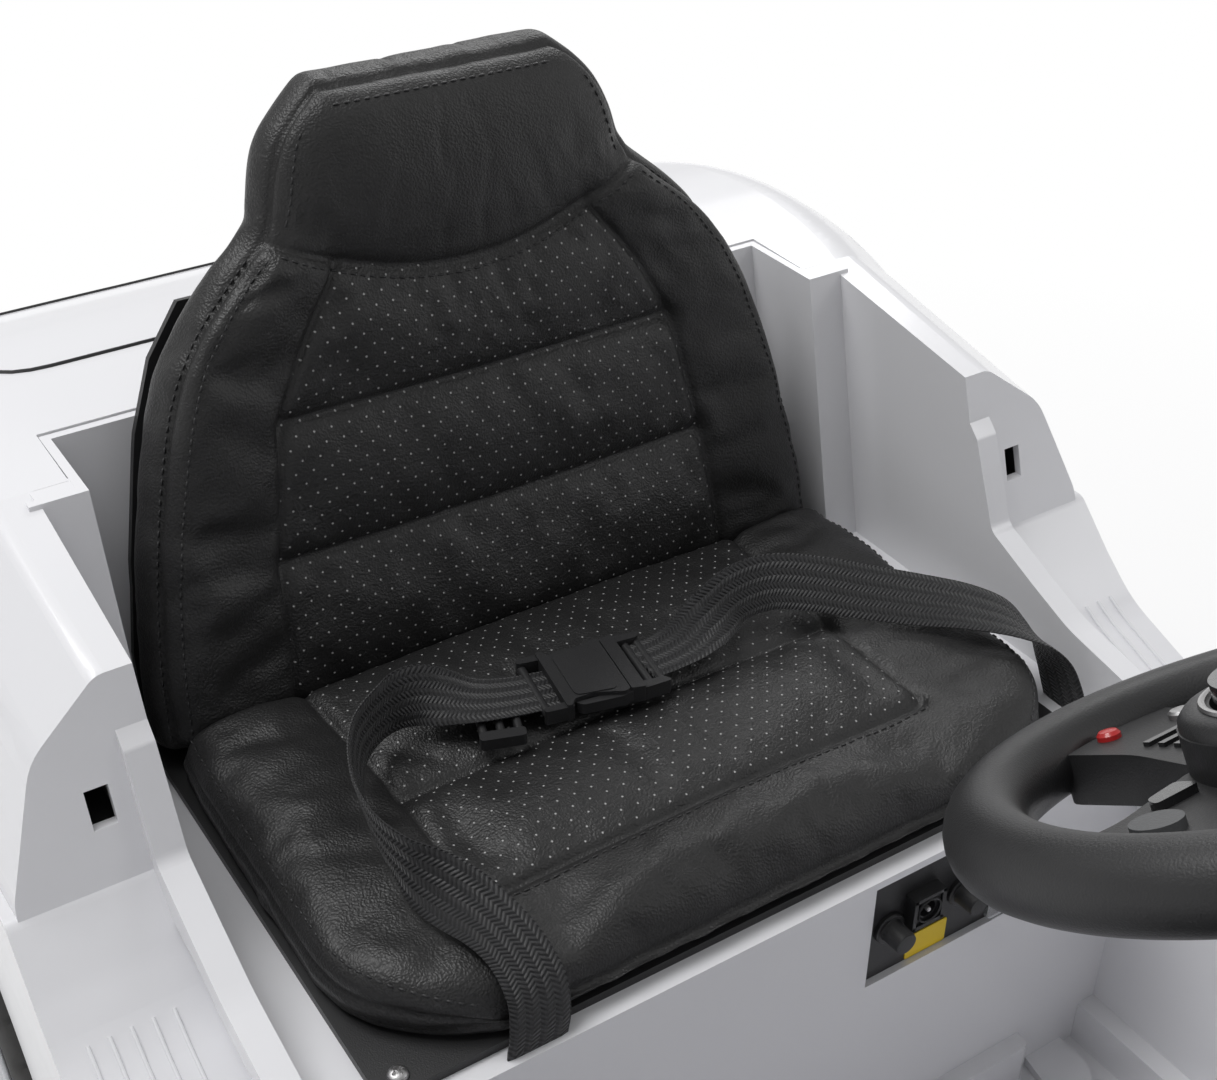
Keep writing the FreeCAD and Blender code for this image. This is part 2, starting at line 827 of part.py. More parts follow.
def door_section(y, top, half):
    points = [(door_inner_x, ledge_front_z - overrun), (half, ledge_front_z - overrun),
              (half, top - shoulder_fall),
              (half - shoulder_out, top - shoulder_drop), (half - top_inset + moving_gap * 2, top),
              (door_inner_x, top)]
    return outline(points, (0.0, 0.0) + section_radii[2:4] + (0.0, 0.0), on_xz(y))


def door_shut():
    step = [(y, z + door_gap) for y, z in ledge_line()]
    start = door_axis_y + door_start
    foot = (pillar_slope(pillar_foot_z) - door_gap, pillar_foot_z + door_gap)
    step = [foot] + step[1:-1] + [(start, ledge_front_z + door_gap)]
    top_rear = pillar_top_z - door_gap
    points = step + [(start, door_front_z), (pillar_slope(top_rear) - door_gap, top_rear + door_gap)]
    radii = (0.0,) + (step_round,) * (len(step) - 2) + (bead_depth, bead_depth, skin)
    side = prism(points, radii, on_yz(door_inner_x), x_axis * (sill_half - door_inner_x))
    rounded = Part.makeLoft([door_section(firewall_y, door_front_z + door_gap, door_outer_x),
                             door_section(rear_joint_y, pillar_top_z - shoulder_drop, pillar_half)],
                             True, True)
    panel = side.common(rounded)
    pocket = block((door_inner_x - overrun, door_outer_x - 2 * shoulder_out),
                   (start + door_start, pillar_foot_y - 2 * door_start),
                   (bead_front_z + skin, pillar_top_z - door_start))
    barrel = rod(Vector(door_axis_x, door_axis_y, door_low_z()),
                 Vector(door_axis_x, door_axis_y, door_high_z()),
                 door_barrel_radius)
    web = block((door_axis_x - skin, door_axis_x + door_barrel_radius), (door_axis_y, start + skin),
                (door_low_z(), door_high_z()))
    bore = rod(Vector(door_axis_x, door_axis_y, 0), Vector(door_axis_x, door_axis_y, overall_length),
               door_pin_radius + running_gap)
    return less(fused(less(panel, pocket), barrel, web), bore)


def door_left():
    return door_shut().rotate(Vector(door_axis_x, door_axis_y, 0), z_axis, -door_open_deg)


def arc(first, middle, last):
    return Part.Arc(first, middle, last).toShape()


def padded_section(place, half, base, edge, panel_half, panel, crown, bolster, bulge, side_in):
    # A flat back, bulging sides, two bolsters and a crowned middle panel, as lines and arcs.
    def mark(x, height):
        return place((x, height))

    side = half - side_in
    between = (side + panel_half) / 2
    edges = [Part.LineSegment(mark(-half, base), mark(half, base)).toShape(),
             arc(mark(half, base), mark(half + bulge, (base + edge) / 2), mark(side, edge)),
             arc(mark(side, edge), mark(between, bolster), mark(panel_half, panel)),
             arc(mark(panel_half, panel), mark(0, panel + crown), mark(-panel_half, panel)),
             arc(mark(-panel_half, panel), mark(-between, bolster), mark(-side, edge)),
             arc(mark(-side, edge), mark(-half - bulge, (base + edge) / 2), mark(-half, base))]
    return Part.Wire(edges)


def seat_cushion():
    base = shelf_z + shell_sheet
    rear = seam_y - cushion_rear_gap
    front = seam_y - seat_depth
    wires = []
    for along, wide, tall in cushion_shares:
        dip = 0
        if tall is None:
            dip = channel_depth
            tall = 1.0
        half = seat_half_width * wide
        height = base + cushion_height * tall
        edge = base + (height - base) * cushion_edge_share
        wires.append(padded_section(on_xz(rear + (front - rear) * along), half, base, edge,
                                    half * panel_half_share,
                                    height - dip, cushion_crown * tall - dip / 2,
                                    height + bolster_rise * tall - dip / 2,
                                    cushion_side_bulge, cushion_side_in))
    return Part.makeLoft(wires, True, True)


def seat_back():
    wires = []
    for along, wide, panel, swell in backrest_shares:
        dip = 0
        if swell is None:
            dip = channel_depth
            swell = 1.0
        half = seat_half_width * wide
        place = on_backrest(backrest_height * along)
        wires.append(padded_section(lambda p, put=place: put((p[0], backrest_thickness - p[1])), half, 0,
                                    backrest_thickness * backrest_edge_share, seat_half_width * panel,
                                    backrest_thickness - dip, backrest_crown * swell - dip / 2,
                                    backrest_thickness + backrest_bulge * swell, backrest_side_bulge,
                                    backrest_side_in))
    return Part.makeLoft(wires, True, True)


def shell_back():
    # A sheet behind the backrest's lower part, with its outline.
    def place(point):
        return on_backrest(point[1])((point[0], backrest_thickness))

    right = [(seat_half_width, -backrest_thickness)]
    right += [(seat_half_width * wide, backrest_height * along)
              for along, wide, _, _ in backrest_shares if along <= shell_back_share]
    left = [(-x, up) for x, up in reversed(right)]
    behind = on_backrest(0)((0, backrest_thickness + shell_sheet)) - place((0, 0))
    return prism(right + left, 0.0, place, behind)


def seat_shell():
    half = seat_half_width
    base = block((-half, half), (seam_y - seat_depth, seam_y + backrest_thickness),
                 (shelf_z, shelf_z + shell_sheet))
    back = shell_back().common(block((-half, half), (0, tail_y), (shelf_z, overall_length)))
    beyond = [(half + overrun, backrest_thickness + shell_sheet),
              (half + overrun, backrest_thickness * 2),
              (-half - overrun, backrest_thickness * 2),
              (-half - overrun, backrest_thickness + shell_sheet)]
    behind = prism(beyond, 0.0, on_backrest(-backrest_thickness), recline_vector(backrest_height))
    return less(fused(base, back), behind)


def seat_screws():
    heads = []
    for x in (-seat_half_width + seat_screw_inset, seat_half_width - seat_screw_inset):
        foot = Vector(x, seam_y - seat_depth + seat_screw_front, shelf_z + shell_sheet)
        head = rod(foot, foot + z_axis * screw_head_height, screw_head_radius)
        heads.append(head)
    return Part.makeCompound(heads)


def on_seat(shares):
    across, back, up = shares
    return Vector(seat_half_width * across, seam_y + seat_depth * back, seam_z + cushion_height * up)


def ribbon(route, across):
    # Flat webbing through the route's points, its width along the direction given at each.
    places = [on_seat(shares) for shares in route]
    wires = []
    for i, (centre, side) in enumerate(zip(places, across)):
        ahead = places[min(i + 1, len(places) - 1)] - places[max(i - 1, 0)]
        wide = Vector(*side).normalize()
        face = ahead.cross(wide).normalize()
        wide = face.cross(ahead).normalize() * (belt_width / 2)
        thick = face * (belt_sheet / 2)
        corners = [centre + wide + thick, centre - wide + thick,
                   centre - wide - thick, centre + wide - thick]
        wires.append(Part.makePolygon(corners + corners[:1]))
    return Part.makeLoft(wires, True, True)


def in_buckle(shape):
    turn = FreeCAD.Rotation(z_axis, buckle_turn_deg)
    return shape.transformed(FreeCAD.Placement(on_seat(buckle_shares), turn).toMatrix())


def buckle_socket():
    half = buckle_length / 2
    wide = buckle_width / 2
    body = prism([(-half, -wide), (tongue_overlap / 2, -wide), (tongue_overlap / 2, wide), (-half, wide)],
                 buckle_wall, on_xy(0), z_axis * buckle_height)
    mouth = block((0, half), (-wide + buckle_wall, wide - buckle_wall),
                  (buckle_wall, buckle_height - buckle_wall))
    bar_slot = block((-half + buckle_wall, -half + buckle_wall + buckle_slot_height),
                     (-belt_width / 2, belt_width / 2),
                     (-overrun, buckle_height + overrun))
    return in_buckle(less(body, mouth, bar_slot))


def buckle_tongue():
    half = buckle_length / 2
    wide = buckle_width / 2
    inside = wide - buckle_wall - soft_gap
    low = buckle_wall + soft_gap
    high = buckle_height - buckle_wall - soft_gap
    prong = block((soft_gap, half), (-inside, inside), (low, high))
    frame = block((tongue_overlap / 2 + soft_gap, half), (-wide, wide), (0, buckle_height))
    slot = block((half - buckle_wall - buckle_slot_height, half - buckle_wall),
                 (-belt_width / 2, belt_width / 2),
                 (-overrun, buckle_height + overrun))
    return in_buckle(less(fused(prong, frame), slot))


def belt_adjuster():
    half = buckle_length / 2
    wide = buckle_width / 2
    end = -half - adjuster_length
    frame = block((end - adjuster_length, end), (-wide, wide), (0, adjuster_bar))
    slot = block((end - adjuster_length + buckle_wall, end - buckle_wall),
                 (-belt_width / 2, belt_width / 2),
                 (-overrun, adjuster_bar + overrun))
    return in_buckle(less(frame, slot))


def charge_panel():
    inner_x, inner_z = charge_span(-panel_gap / 2)
    flange_x, flange_z = charge_span(skin)
    flange_z = (flange_z[0], min(flange_z[1], shelf_z - skin))
    wall_back = box_front_y + skin
    plate = block(inner_x, (box_front_y + charge_recess, wall_back), inner_z)
    flange = block(flange_x, (wall_back, wall_back + skin), flange_z)
    return fused(plate, flange, *panel_pegs())


def charge_point(share_x, share_z):
    return Vector(charge_x + charge_width * share_x, box_front_y + charge_recess,
                  charge_top_z - charge_height * share_z)


def panel_pegs():
    return [rod(charge_point(share, peg_row_share),
                charge_point(share, peg_row_share) - y_axis * peg_length, peg_radius)
            for share in peg_shares]


def charge_socket():
    centre = charge_point(socket_share, socket_row_share)
    half = socket_side / 2
    body = block((centre.x - half, centre.x + half), (centre.y - socket_length, centre.y),
                 (centre.z - half, centre.z + half))
    bore = rod(centre - y_axis * (socket_length + overrun), centre - y_axis * buckle_wall, socket_bore)
    pin = rod(centre - y_axis * (socket_length - buckle_wall / 2), centre - y_axis * buckle_wall / 2,
              socket_pin_radius)
    return fused(less(body, bore), pin)


def cover_screw():
    foot = charge_point(cover_screw_share, cover_row_share)
    top = foot - y_axis * cover_standoff
    post = rod(foot, top, cover_screw_radius)
    collar = rod(foot, foot - y_axis * (cover_standoff - cover_sheet - 2 * panel_gap), cover_head_radius)
    head = rod(top, top - y_axis * cover_sheet, cover_head_radius)
    return fused(post, collar, head)


def socket_cover():
    foot = charge_point(cover_screw_share, cover_row_share)
    front = foot.y - cover_standoff + panel_gap
    half = cover_size / 2
    drop = cover_size - 2 * cover_head_radius
    plate = prism([(foot.x - half, foot.z - drop), (foot.x + half, foot.z - drop),
                   (foot.x + half, foot.z + half),
                   (foot.x - half, foot.z + half)], cover_head_radius, on_xz(front), y_axis * cover_sheet)
    bore = rod(Vector(foot.x, front - overrun, foot.z), Vector(foot.x, foot.y, foot.z),
               cover_screw_radius + running_gap)
    return less(plate, bore)


def tie_point():
    return Vector(0, front_axle_y - steering_arm, arm_top_z() + panel_gap + tie_thickness / 2)


def arm_top_z():
    return wheel_radius + arm_thickness


def column_tilt():
    # The column lies so that its crank pin meets the middle of the tie rod.
    reach = Vector(0, wheel_hub_y, wheel_hub_z) - tie_point()
    return math.atan2(reach.y, reach.z) - math.asin(crank_radius / reach.Length)


def column_up():
    return Vector(0, math.sin(column_tilt()), math.cos(column_tilt()))


def column_foot():
    ahead = Vector(0, -math.cos(column_tilt()), math.sin(column_tilt()))
    return tie_point() - ahead * crank_radius + column_up() * crank_standoff


def column_rod(radius):
    return rod(column_foot(), Vector(0, wheel_hub_y, wheel_hub_z), radius)


def steering_column():
    pin_top = tie_point() + column_up() * (crank_standoff + crank_plate)
    pin = rod(tie_point() - column_up() * crank_pin_reach, pin_top, crank_pin_radius)
    foot = column_foot()
    hub = rod(foot, foot + column_up() * crank_plate, column_radius + crank_pin_radius)
    ahead = tie_point() + column_up() * crank_standoff - foot
    side = x_axis * crank_pin_radius
    corners = [foot + side, foot - side, foot + ahead - side, foot + ahead + side]
    plate = Part.Face(Part.makePolygon(corners + corners[:1])).extrude(column_up() * crank_plate)
    return fused(column_rod(column_radius), hub, plate, pin)


def column_bush():
    through = (firewall_y + skin / 2 - wheel_hub_y) / math.sin(column_tilt())
    middle = Vector(0, wheel_hub_y, wheel_hub_z) + column_up() * through
    ends = column_up() * (bush_length / 2)
    return less(rod(middle - ends, middle + ends, bush_radius),
                rod(middle - ends * 2, middle + ends * 2, column_radius + running_gap))


def on_wheel(shape):
    turn = FreeCAD.Rotation(x_axis, -math.degrees(column_tilt()))
    return shape.transformed(FreeCAD.Placement(Vector(0, wheel_hub_y, wheel_hub_z), turn).toMatrix())


def steering_wheel():
    grip = Part.makeTorus(wheel_rim_radius - rim_grip_radius, rim_grip_radius)
    parts = [Part.makeCylinder(hub_radius, hub_depth, Vector(0, 0, 0))]
    for angle in spoke_angles_deg:
        spoke = block((hub_radius / 2, wheel_rim_radius - rim_grip_radius),
                      (-spoke_width / 2, spoke_width / 2),
                      (-spoke_depth / 2, spoke_depth / 2))
        parts.append(spoke.rotate(Vector(0, 0, 0), z_axis, angle))
    wheel = fused(grip, *parts)
    pad_hole = Part.makeCylinder(horn_radius + panel_gap, horn_height + horn_travel + overrun,
                                 Vector(0, 0, hub_depth - horn_travel - moving_gap))
    wheel = less(wheel, pad_hole)
    for side in (-1, 1):
        well = Part.makeCylinder(key_radius + panel_gap, key_height + spoke_depth,
                                 Vector(side * key_reach(), 0, spoke_depth / 2 - key_travel - moving_gap))
        wheel = less(wheel, well)
    return on_wheel(wheel)


def key_reach():
    return wheel_rim_radius * key_reach_share


def horn_button():
    return on_wheel(Part.makeCylinder(horn_radius, horn_height, Vector(0, 0, hub_depth - moving_gap / 2)))


def wheel_button(side):
    return on_wheel(Part.makeCylinder(key_radius, key_height,
                                      Vector(side * key_reach(), 0, spoke_depth / 2 - moving_gap / 2)))


def front_axle_beam():
    beam = block((-kingpin_x + fork_inset / 2, kingpin_x - fork_inset / 2),
                 (front_axle_y - beam_width / 2, front_axle_y + beam_width / 2),
                 (pan_top_z, pan_top_z + beam_height))
    pieces = [beam]
    gap = barrel_height / 2 + panel_gap
    inner = kingpin_x - barrel_radius - moving_gap
    for side in (-1, 1):
        y_span = (front_axle_y - beam_width / 2, front_axle_y + beam_width / 2)
        web_span = sorted((side * (kingpin_x - fork_inset), side * inner))
        ear_span = sorted((side * (kingpin_x - fork_inset), side * (kingpin_x + barrel_radius)))
        pieces.append(block(web_span, y_span, (pan_top_z, wheel_radius + gap + ear_thickness)))
        pieces.append(block(ear_span, y_span, (wheel_radius + gap, wheel_radius + gap + ear_thickness)))
        pieces.append(block(ear_span, y_span, (wheel_radius - gap - ear_thickness, wheel_radius - gap)))
    beam = fused(pieces[0], *pieces[1:])
    for side in (-1, 1):
        foot = Vector(side * kingpin_x, front_axle_y, 0)
        beam = less(beam, rod(foot, foot + z_axis * wheel_hub_z, kingpin_radius + running_gap),
                    rod(foot + z_axis * (wheel_radius - gap), foot + z_axis * (wheel_radius + gap),
                        barrel_radius + moving_gap))
    return beam


def axle_end_x():
    return wheel_centre_x + disc_offset + spoke_disc + nut_height


def knuckle_left():
    centre = Vector(kingpin_x, front_axle_y, wheel_radius)
    gap = barrel_height / 2
    barrel = rod(centre - z_axis * gap, centre + z_axis * gap, barrel_radius)
    pin_reach = gap + panel_gap + ear_thickness + skin
    pin = rod(centre - z_axis * pin_reach, centre + z_axis * pin_reach, kingpin_radius)
    stub = rod(centre, Vector(axle_end_x(), front_axle_y, wheel_radius), axle_radius)
    shoulder = rod(centre, Vector(wheel_centre_x - hub_back - panel_gap, front_axle_y, wheel_radius),
                   stub_shoulder)
    arm = block((kingpin_x - arm_width / 2, kingpin_x + arm_width / 2),
                (front_axle_y - steering_arm - arm_width / 2, front_axle_y), (wheel_radius, arm_top_z()))
    top = Vector(kingpin_x, front_axle_y - steering_arm, arm_top_z())
    arm_pin = rod(top - z_axis * panel_gap, top + z_axis * arm_pin_height, arm_pin_radius)
    knuckle = fused(barrel, pin, stub, shoulder, arm, arm_pin)
    return Part.makeCompound([knuckle, axle_nut(axle_end_x(), front_axle_y)])


def axle_nut(end_x, y):
    start = Vector(end_x - nut_height, y, wheel_radius)
    nut = rod(start, start + x_axis * nut_height, nut_radius)
    return less(nut, rod(start - x_axis * overrun, start + x_axis * (nut_height + overrun), axle_radius))


def tie_rod():
    middle = tie_point()
    low = middle.z - tie_thickness / 2
    half = kingpin_x + tie_width / 2
    bar = block((-half, half), (middle.y - tie_width / 2, middle.y + tie_width / 2),
                (low, low + tie_thickness))
    slot_width = crank_pin_radius + steer_slot_gap
    slot_half = slot_width + tie_slot_room * 2
    pad = block((-tie_width, tie_width), (middle.y - slot_half - skin, middle.y + slot_half + skin),
                (low, low + tie_thickness))
    cuts = [slot(Vector(0, middle.y, low), slot_width, slot_half)]
    for side in (-1, 1):
        cuts.append(slot(Vector(side * kingpin_x, middle.y + tie_slot_lead, low),
                         arm_pin_radius + steer_slot_gap,
                         arm_pin_radius + tie_slot_room / 2))
    return less(fused(bar, pad), *cuts)


def slot(foot, radius, half_length):
    points = [(foot.x - radius, foot.y - half_length), (foot.x + radius, foot.y - half_length),
              (foot.x + radius, foot.y + half_length), (foot.x - radius, foot.y + half_length)]
    return prism(points, radius * slot_round_share, on_xy(foot.z - overrun),
                 z_axis * (tie_thickness + 2 * overrun))


def on_axle(y):
    return lambda point: Vector(wheel_centre_x + point[0], y, wheel_radius + point[1])


def turned(points, radii, y):
    face = Part.Face(outline(points, radii, on_axle(y)))
    return face.revolve(Vector(0, y, wheel_radius), x_axis, 360)


def tyre(y):
    half = tyre_width / 2
    return turned([(-half, rim_radius), (half, rim_radius), (half, wheel_radius), (-half, wheel_radius)],
                  (0.0, 0.0, tyre_shoulder, tyre_shoulder), y)


def rim(y):
    half = rim_width / 2
    bore = axle_radius + running_gap
    front = disc_offset + spoke_disc
    barrel_inner = rim_radius - rim_wall
    points = [(-hub_back, bore), (front, bore), (front, barrel_inner), (half, barrel_inner),
              (half, rim_radius),
              (-half, rim_radius), (-half, barrel_inner), (disc_offset, barrel_inner),
              (disc_offset, hub_boss_radius),
              (-hub_back, hub_boss_radius)]
    wheel = turned(points, 0.0, y)
    windows = [spoke_window(y, 360 * turn / wheel_spokes) for turn in range(wheel_spokes)]
    wheel = less(wheel, *windows)
    cap = turned([(front, 0), (front + cap_height, 0), (front + cap_height, cap_radius),
                  (front, cap_radius)],
                 (0.0, 0.0, cap_height / 2, 0.0), y)
    centre = Vector(wheel_centre_x + front, y, wheel_radius)
    cap = less(cap, rod(centre - x_axis * overrun, centre + x_axis * cap_pocket_depth, cap_pocket_radius))
    return Part.makeCompound([wheel, cap])


def spoke_window(y, turn_deg):
    half = math.radians(window_half_deg)
    inner = rim_radius * window_inner_share
    outer = rim_radius * window_outer_share
    points = [(-inner * math.sin(half) * window_pinch_share, inner), (-outer * math.sin(half), outer),
              (outer * math.sin(half), outer), (inner * math.sin(half) * window_pinch_share, inner)]
    start = wheel_centre_x + disc_offset - overrun
    radii = (window_corner / 2, window_corner, window_corner, window_corner / 2)
    cut = prism(points, radii, lambda p: Vector(start, y + p[0], wheel_radius + p[1]),
                x_axis * (spoke_disc + 2 * overrun))
    return cut.rotate(Vector(0, y, wheel_radius), x_axis, turn_deg)


def rear_axle():
    end = axle_end_x()
    axle = rod(Vector(-end, rear_axle_y, wheel_radius), Vector(end, rear_axle_y, wheel_radius),
               axle_radius)
    nut = axle_nut(end, rear_axle_y)
    return Part.makeCompound([axle, nut, mirrored(nut)])


def gear_outline(teeth, place):
    # Involute flanks in a few straight steps, with the backlash taken off each tooth.
    pitch = gear_module * teeth / 2
    base = pitch * math.cos(math.radians(pressure_deg))
    tip = pitch + gear_module
    root = pitch - gear_module * root_share
    half_tooth = math.pi / (2 * teeth) - gear_backlash / (2 * pitch)
    involute_at_pitch = math.tan(math.radians(pressure_deg)) - math.radians(pressure_deg)
    points = []
    start = max(root, base)
    for tooth in range(teeth):
        middle = 2 * math.pi * tooth / teeth
        flank = []
        for step in range(flank_steps + 1):
            radius = start + (tip - start) * step / flank_steps
            roll = math.acos(min(1.0, base / radius))
            flank.append((radius, half_tooth + involute_at_pitch - (math.tan(roll) - roll)))
        flank.insert(0, (root, flank[0][1]))
        turn = [(radius, middle - angle) for radius, angle in flank]
        turn += [(radius, middle + angle) for radius, angle in reversed(flank)]
        points += [(radius * math.cos(angle), radius * math.sin(angle)) for radius, angle in turn]
    corners = [place(point) for point in points]
    return Part.Face(Part.makePolygon(corners + corners[:1]))


def gear_spread():
    return gear_module * (drive_teeth + pinion_teeth) / 2


def pinion_place():
    lean = math.radians(gear_lean_deg)
    return rear_axle_y + gear_spread() * math.cos(lean), wheel_radius + gear_spread() * math.sin(lean)


def drive_room():
    return gear_spread() * math.cos(math.radians(gear_lean_deg)) + motor_radius + case_room


def gear_face_at(teeth, y, z, phase):
    def place(point):
        across = point[0] * math.cos(phase) - point[1] * math.sin(phase)
        up = point[0] * math.sin(phase) + point[1] * math.cos(phase)
        return Vector(gear_plane_x, y + across, z + up)
    return gear_outline(teeth, place)


def drive_gear():
    # A tooth points along the line of centres, and a tooth gap of the pinion faces it.
    lean = math.radians(gear_lean_deg)
    blank = gear_face_at(drive_teeth, rear_axle_y, wheel_radius, lean).extrude(x_axis * gear_face)
    start = Vector(gear_plane_x, rear_axle_y, wheel_radius)
    hub = rod(start, Vector(wheel_centre_x - hub_back, rear_axle_y, wheel_radius), drive_hub_radius)
    bore = rod(start - x_axis * overrun, Vector(wheel_centre_x, rear_axle_y, wheel_radius),
               axle_radius + running_gap)
    return less(fused(blank, hub), bore)


def motor_pinion():
    y, z = pinion_place()
    phase = math.radians(gear_lean_deg) + math.pi - math.pi / pinion_teeth
    blank = gear_face_at(pinion_teeth, y, z, phase).extrude(x_axis * gear_face)
    start = Vector(gear_plane_x, y, z)
    shaft = rod(Vector(case_inner_x - case_room, y, z), start + x_axis * (gear_face + case_room),
                motor_shaft_radius)
    return fused(blank, shaft)


def gearbox_case():
    y, z = pinion_place()
    big = gear_module * (drive_teeth / 2 + 1) + case_room
    small = motor_radius + case_room

    def bulk(inset, x_span):
        wheel_part = rod(Vector(x_span[0], rear_axle_y, wheel_radius),
                         Vector(x_span[1], rear_axle_y, wheel_radius),
                         big - inset + case_wall)
        motor_part = rod(Vector(x_span[0], y, z), Vector(x_span[1], y, z), small - inset + case_wall)
        return fused(wheel_part, motor_part)

    floor = block((0, fender_half), (0, tail_y), (pan_top_z, overall_length))
    outer = bulk(0, (case_inner_x, case_outer_x))
    foot = block((case_inner_x, case_outer_x), (rear_axle_y - big, y), (pan_top_z, wheel_radius))
    case = fused(outer, foot).common(floor)
    hollow = bulk(case_wall, (case_inner_x + case_wall, case_outer_x - case_wall))
    hollow = hollow.common(block((0, fender_half), (0, tail_y), (pan_top_z + case_wall, overall_length)))
    hub_hole = rod(Vector(case_outer_x - case_wall - overrun, rear_axle_y, wheel_radius),
                   Vector(case_outer_x + overrun, rear_axle_y, wheel_radius),
                   drive_hub_radius + panel_gap)
    axle_hole = rod(Vector(0, rear_axle_y, wheel_radius),
                    Vector(case_outer_x, rear_axle_y, wheel_radius), axle_radius)
    shaft_hole = rod(Vector(0, y, z), Vector(case_inner_x + case_wall + overrun, y, z),
                     motor_shaft_radius + running_gap)
    return less(case, hollow, hub_hole, axle_hole, shaft_hole)


def gearbox_cases():
    return both_sides(gearbox_case())


def motors():
    y, z = pinion_place()
    can = rod(Vector(case_inner_x - motor_length, y, z), Vector(case_inner_x, y, z), motor_radius)
    bore = rod(Vector(case_inner_x - case_room - moving_gap, y, z), Vector(case_inner_x + overrun, y, z),
               motor_shaft_radius + running_gap)
    return both_sides(less(can, bore))


def on_floor_box(size, y):
    floor = pan_top_z + floor_sheet
    return block((-size[0] / 2, size[0] / 2), (y - size[1] / 2, y + size[1] / 2),
                 (floor, floor + size[2]))


def battery():
    case = on_floor_box(battery_size, battery_y)
    top = pan_top_z + floor_sheet + battery_size[2]
    reach = battery_size[0] * tab_share
    y_span = (battery_y - tab_half_sheet, battery_y + tab_half_sheet)
    tabs = [block((x - tab_half_width, x + tab_half_width), y_span, (top, top + tab_height))
            for x in (-reach, reach)]
    return fused(case, *tabs)


def control_box():
    return on_floor_box(control_size, control_y)


def dash_face_y():
    return firewall_y + skin + dash_depth


def dashboard():
    back = firewall_y + skin
    face = dash_face_y()
    points = [(back, dash_bottom_z), (face, dash_bottom_z), (face, dash_top_z), (back, dash_top_z)]
    panel = prism(points, (0.0, skin, dash_round, 0.0), on_yz(-dash_half), x_axis * (2 * dash_half))
    well = rod(Vector(button_x, face - button_depth - button_travel - moving_gap, button_z),
               Vector(button_x, face + overrun, button_z), button_radius + panel_gap)
    rocker_half = rocker_width / 2 + panel_gap
    reach = rocker_radius + panel_gap
    pocket = block((rocker_x - rocker_half, rocker_x + rocker_half),
                   (face - rocker_sink - reach, face + overrun), (button_z - reach, button_z + reach))
    return less(panel, well, pocket, column_rod(bush_radius + column_room))


def power_button():
    face = dash_face_y()
    return rod(Vector(button_x, face - button_depth, button_z),
               Vector(button_x, face + button_stand, button_z),
               button_radius)


def direction_rocker():
    centre = dash_face_y() - rocker_sink
    left = Vector(rocker_x - rocker_width / 2, centre, button_z)
    drum = rod(left, left + x_axis * rocker_width, rocker_radius)
    ridge = block((left.x, left.x + rocker_width), (centre, centre + rocker_radius + skin / 2),
                  (button_z - skin / 2, button_z + skin / 2))
    return fused(drum, ridge)


def windscreen():
    slope = Vector(0, screen_top_y - screen_foot_y, screen_top_z - screen_foot_z)
    tall = slope.Length
    up = slope.normalize()
    foot = Vector(0, screen_foot_y, screen_foot_z)

    def place(point):
        return foot + x_axis * point[0] + up * point[1]
    points = [(-screen_half, 0), (screen_half, 0), (screen_half * screen_taper_share, tall),
              (-screen_half * screen_taper_share, tall)]
    sheet = prism(points, (0.0, 0.0, screen_corner, screen_corner), place,
                  x_axis.cross(up) * screen_sheet)
    return less(sheet, front_envelope(0))


def mirror_outline(inset, y, depth):
    half = mirror_width / 2 - inset
    tall = mirror_height / 2 - inset
    points = [(mirror_x - half, mirror_z - tall), (mirror_x + half, mirror_z - tall),
              (mirror_x + half, mirror_z + tall),
              (mirror_x - half, mirror_z + tall)]
    return prism(points, mirror_corner - inset, on_xz(y), y_axis * depth)


def mirror_housing():
    back = mirror_y + mirror_depth
    pocket = mirror_outline(mirror_rim, back - mirror_rim, mirror_rim + overrun)
    body = less(mirror_outline(0, mirror_y, mirror_depth), pocket)
    arm = rod(Vector(mirror_x - mirror_width / 2 + mirror_rim, mirror_y + mirror_depth / 2,
                     mirror_z - mirror_corner),
              Vector(sill_half - top_inset - shoulder_out, mirror_y + mirror_depth / 2,
                     cowl_z - 2 * shoulder_drop),
              mirror_arm_radius)
    return less(fused(body, arm), front_envelope(0))


def mirror_housings():
    return both_sides(mirror_housing())


def mirror_glasses():
    return both_sides(mirror_outline(mirror_rim, mirror_y + mirror_depth - mirror_rim, mirror_rim / 2))


def door_pins():
    return both_sides(door_pin())


def pedal_centre():
    return Vector(pedal_x, pedal_pivot_y, pan_top_z + floor_sheet + pedal_pivot_rise)


def pedal_pin(gap):
    side = x_axis * (pedal_width / 2 + pedal_ear + moving_gap)
    return rod(pedal_centre() - side, pedal_centre() + side, pedal_pin_radius + gap)


def pedal_ears():
    ears = []
    centre = pedal_centre()
    for side in (-1, 1):
        inner = centre.x + side * (pedal_width / 2 + moving_gap)
        span = sorted((inner, inner + side * pedal_ear))
        ears.append(block(span, (centre.y - pedal_ear, centre.y + pedal_ear),
                          (pan_top_z, centre.z + pedal_ear)))
    return ears


def pedal():
    centre = pedal_centre()
    barrel = rod(centre - x_axis * (pedal_width / 2), centre + x_axis * (pedal_width / 2),
                 pedal_pin_radius + skin)
    plate = block((centre.x - pedal_width / 2, centre.x + pedal_width / 2),
                  (centre.y - pedal_sheet / 2, centre.y + pedal_sheet / 2),
                  (centre.z, centre.z + pedal_length))
    plate = plate.rotate(centre, x_axis, pedal_slope_deg)
    return fused(plate, barrel, pedal_pin(0))


def save(name, shape):
    solids = shape.Solids
    kept = solids[0] if len(solids) == 1 else Part.makeCompound(solids)
    if not kept.isValid() or not solids:
        print("check", name, len(solids), kept.isValid())
    kept.exportStep("parts/" + name + ".step")


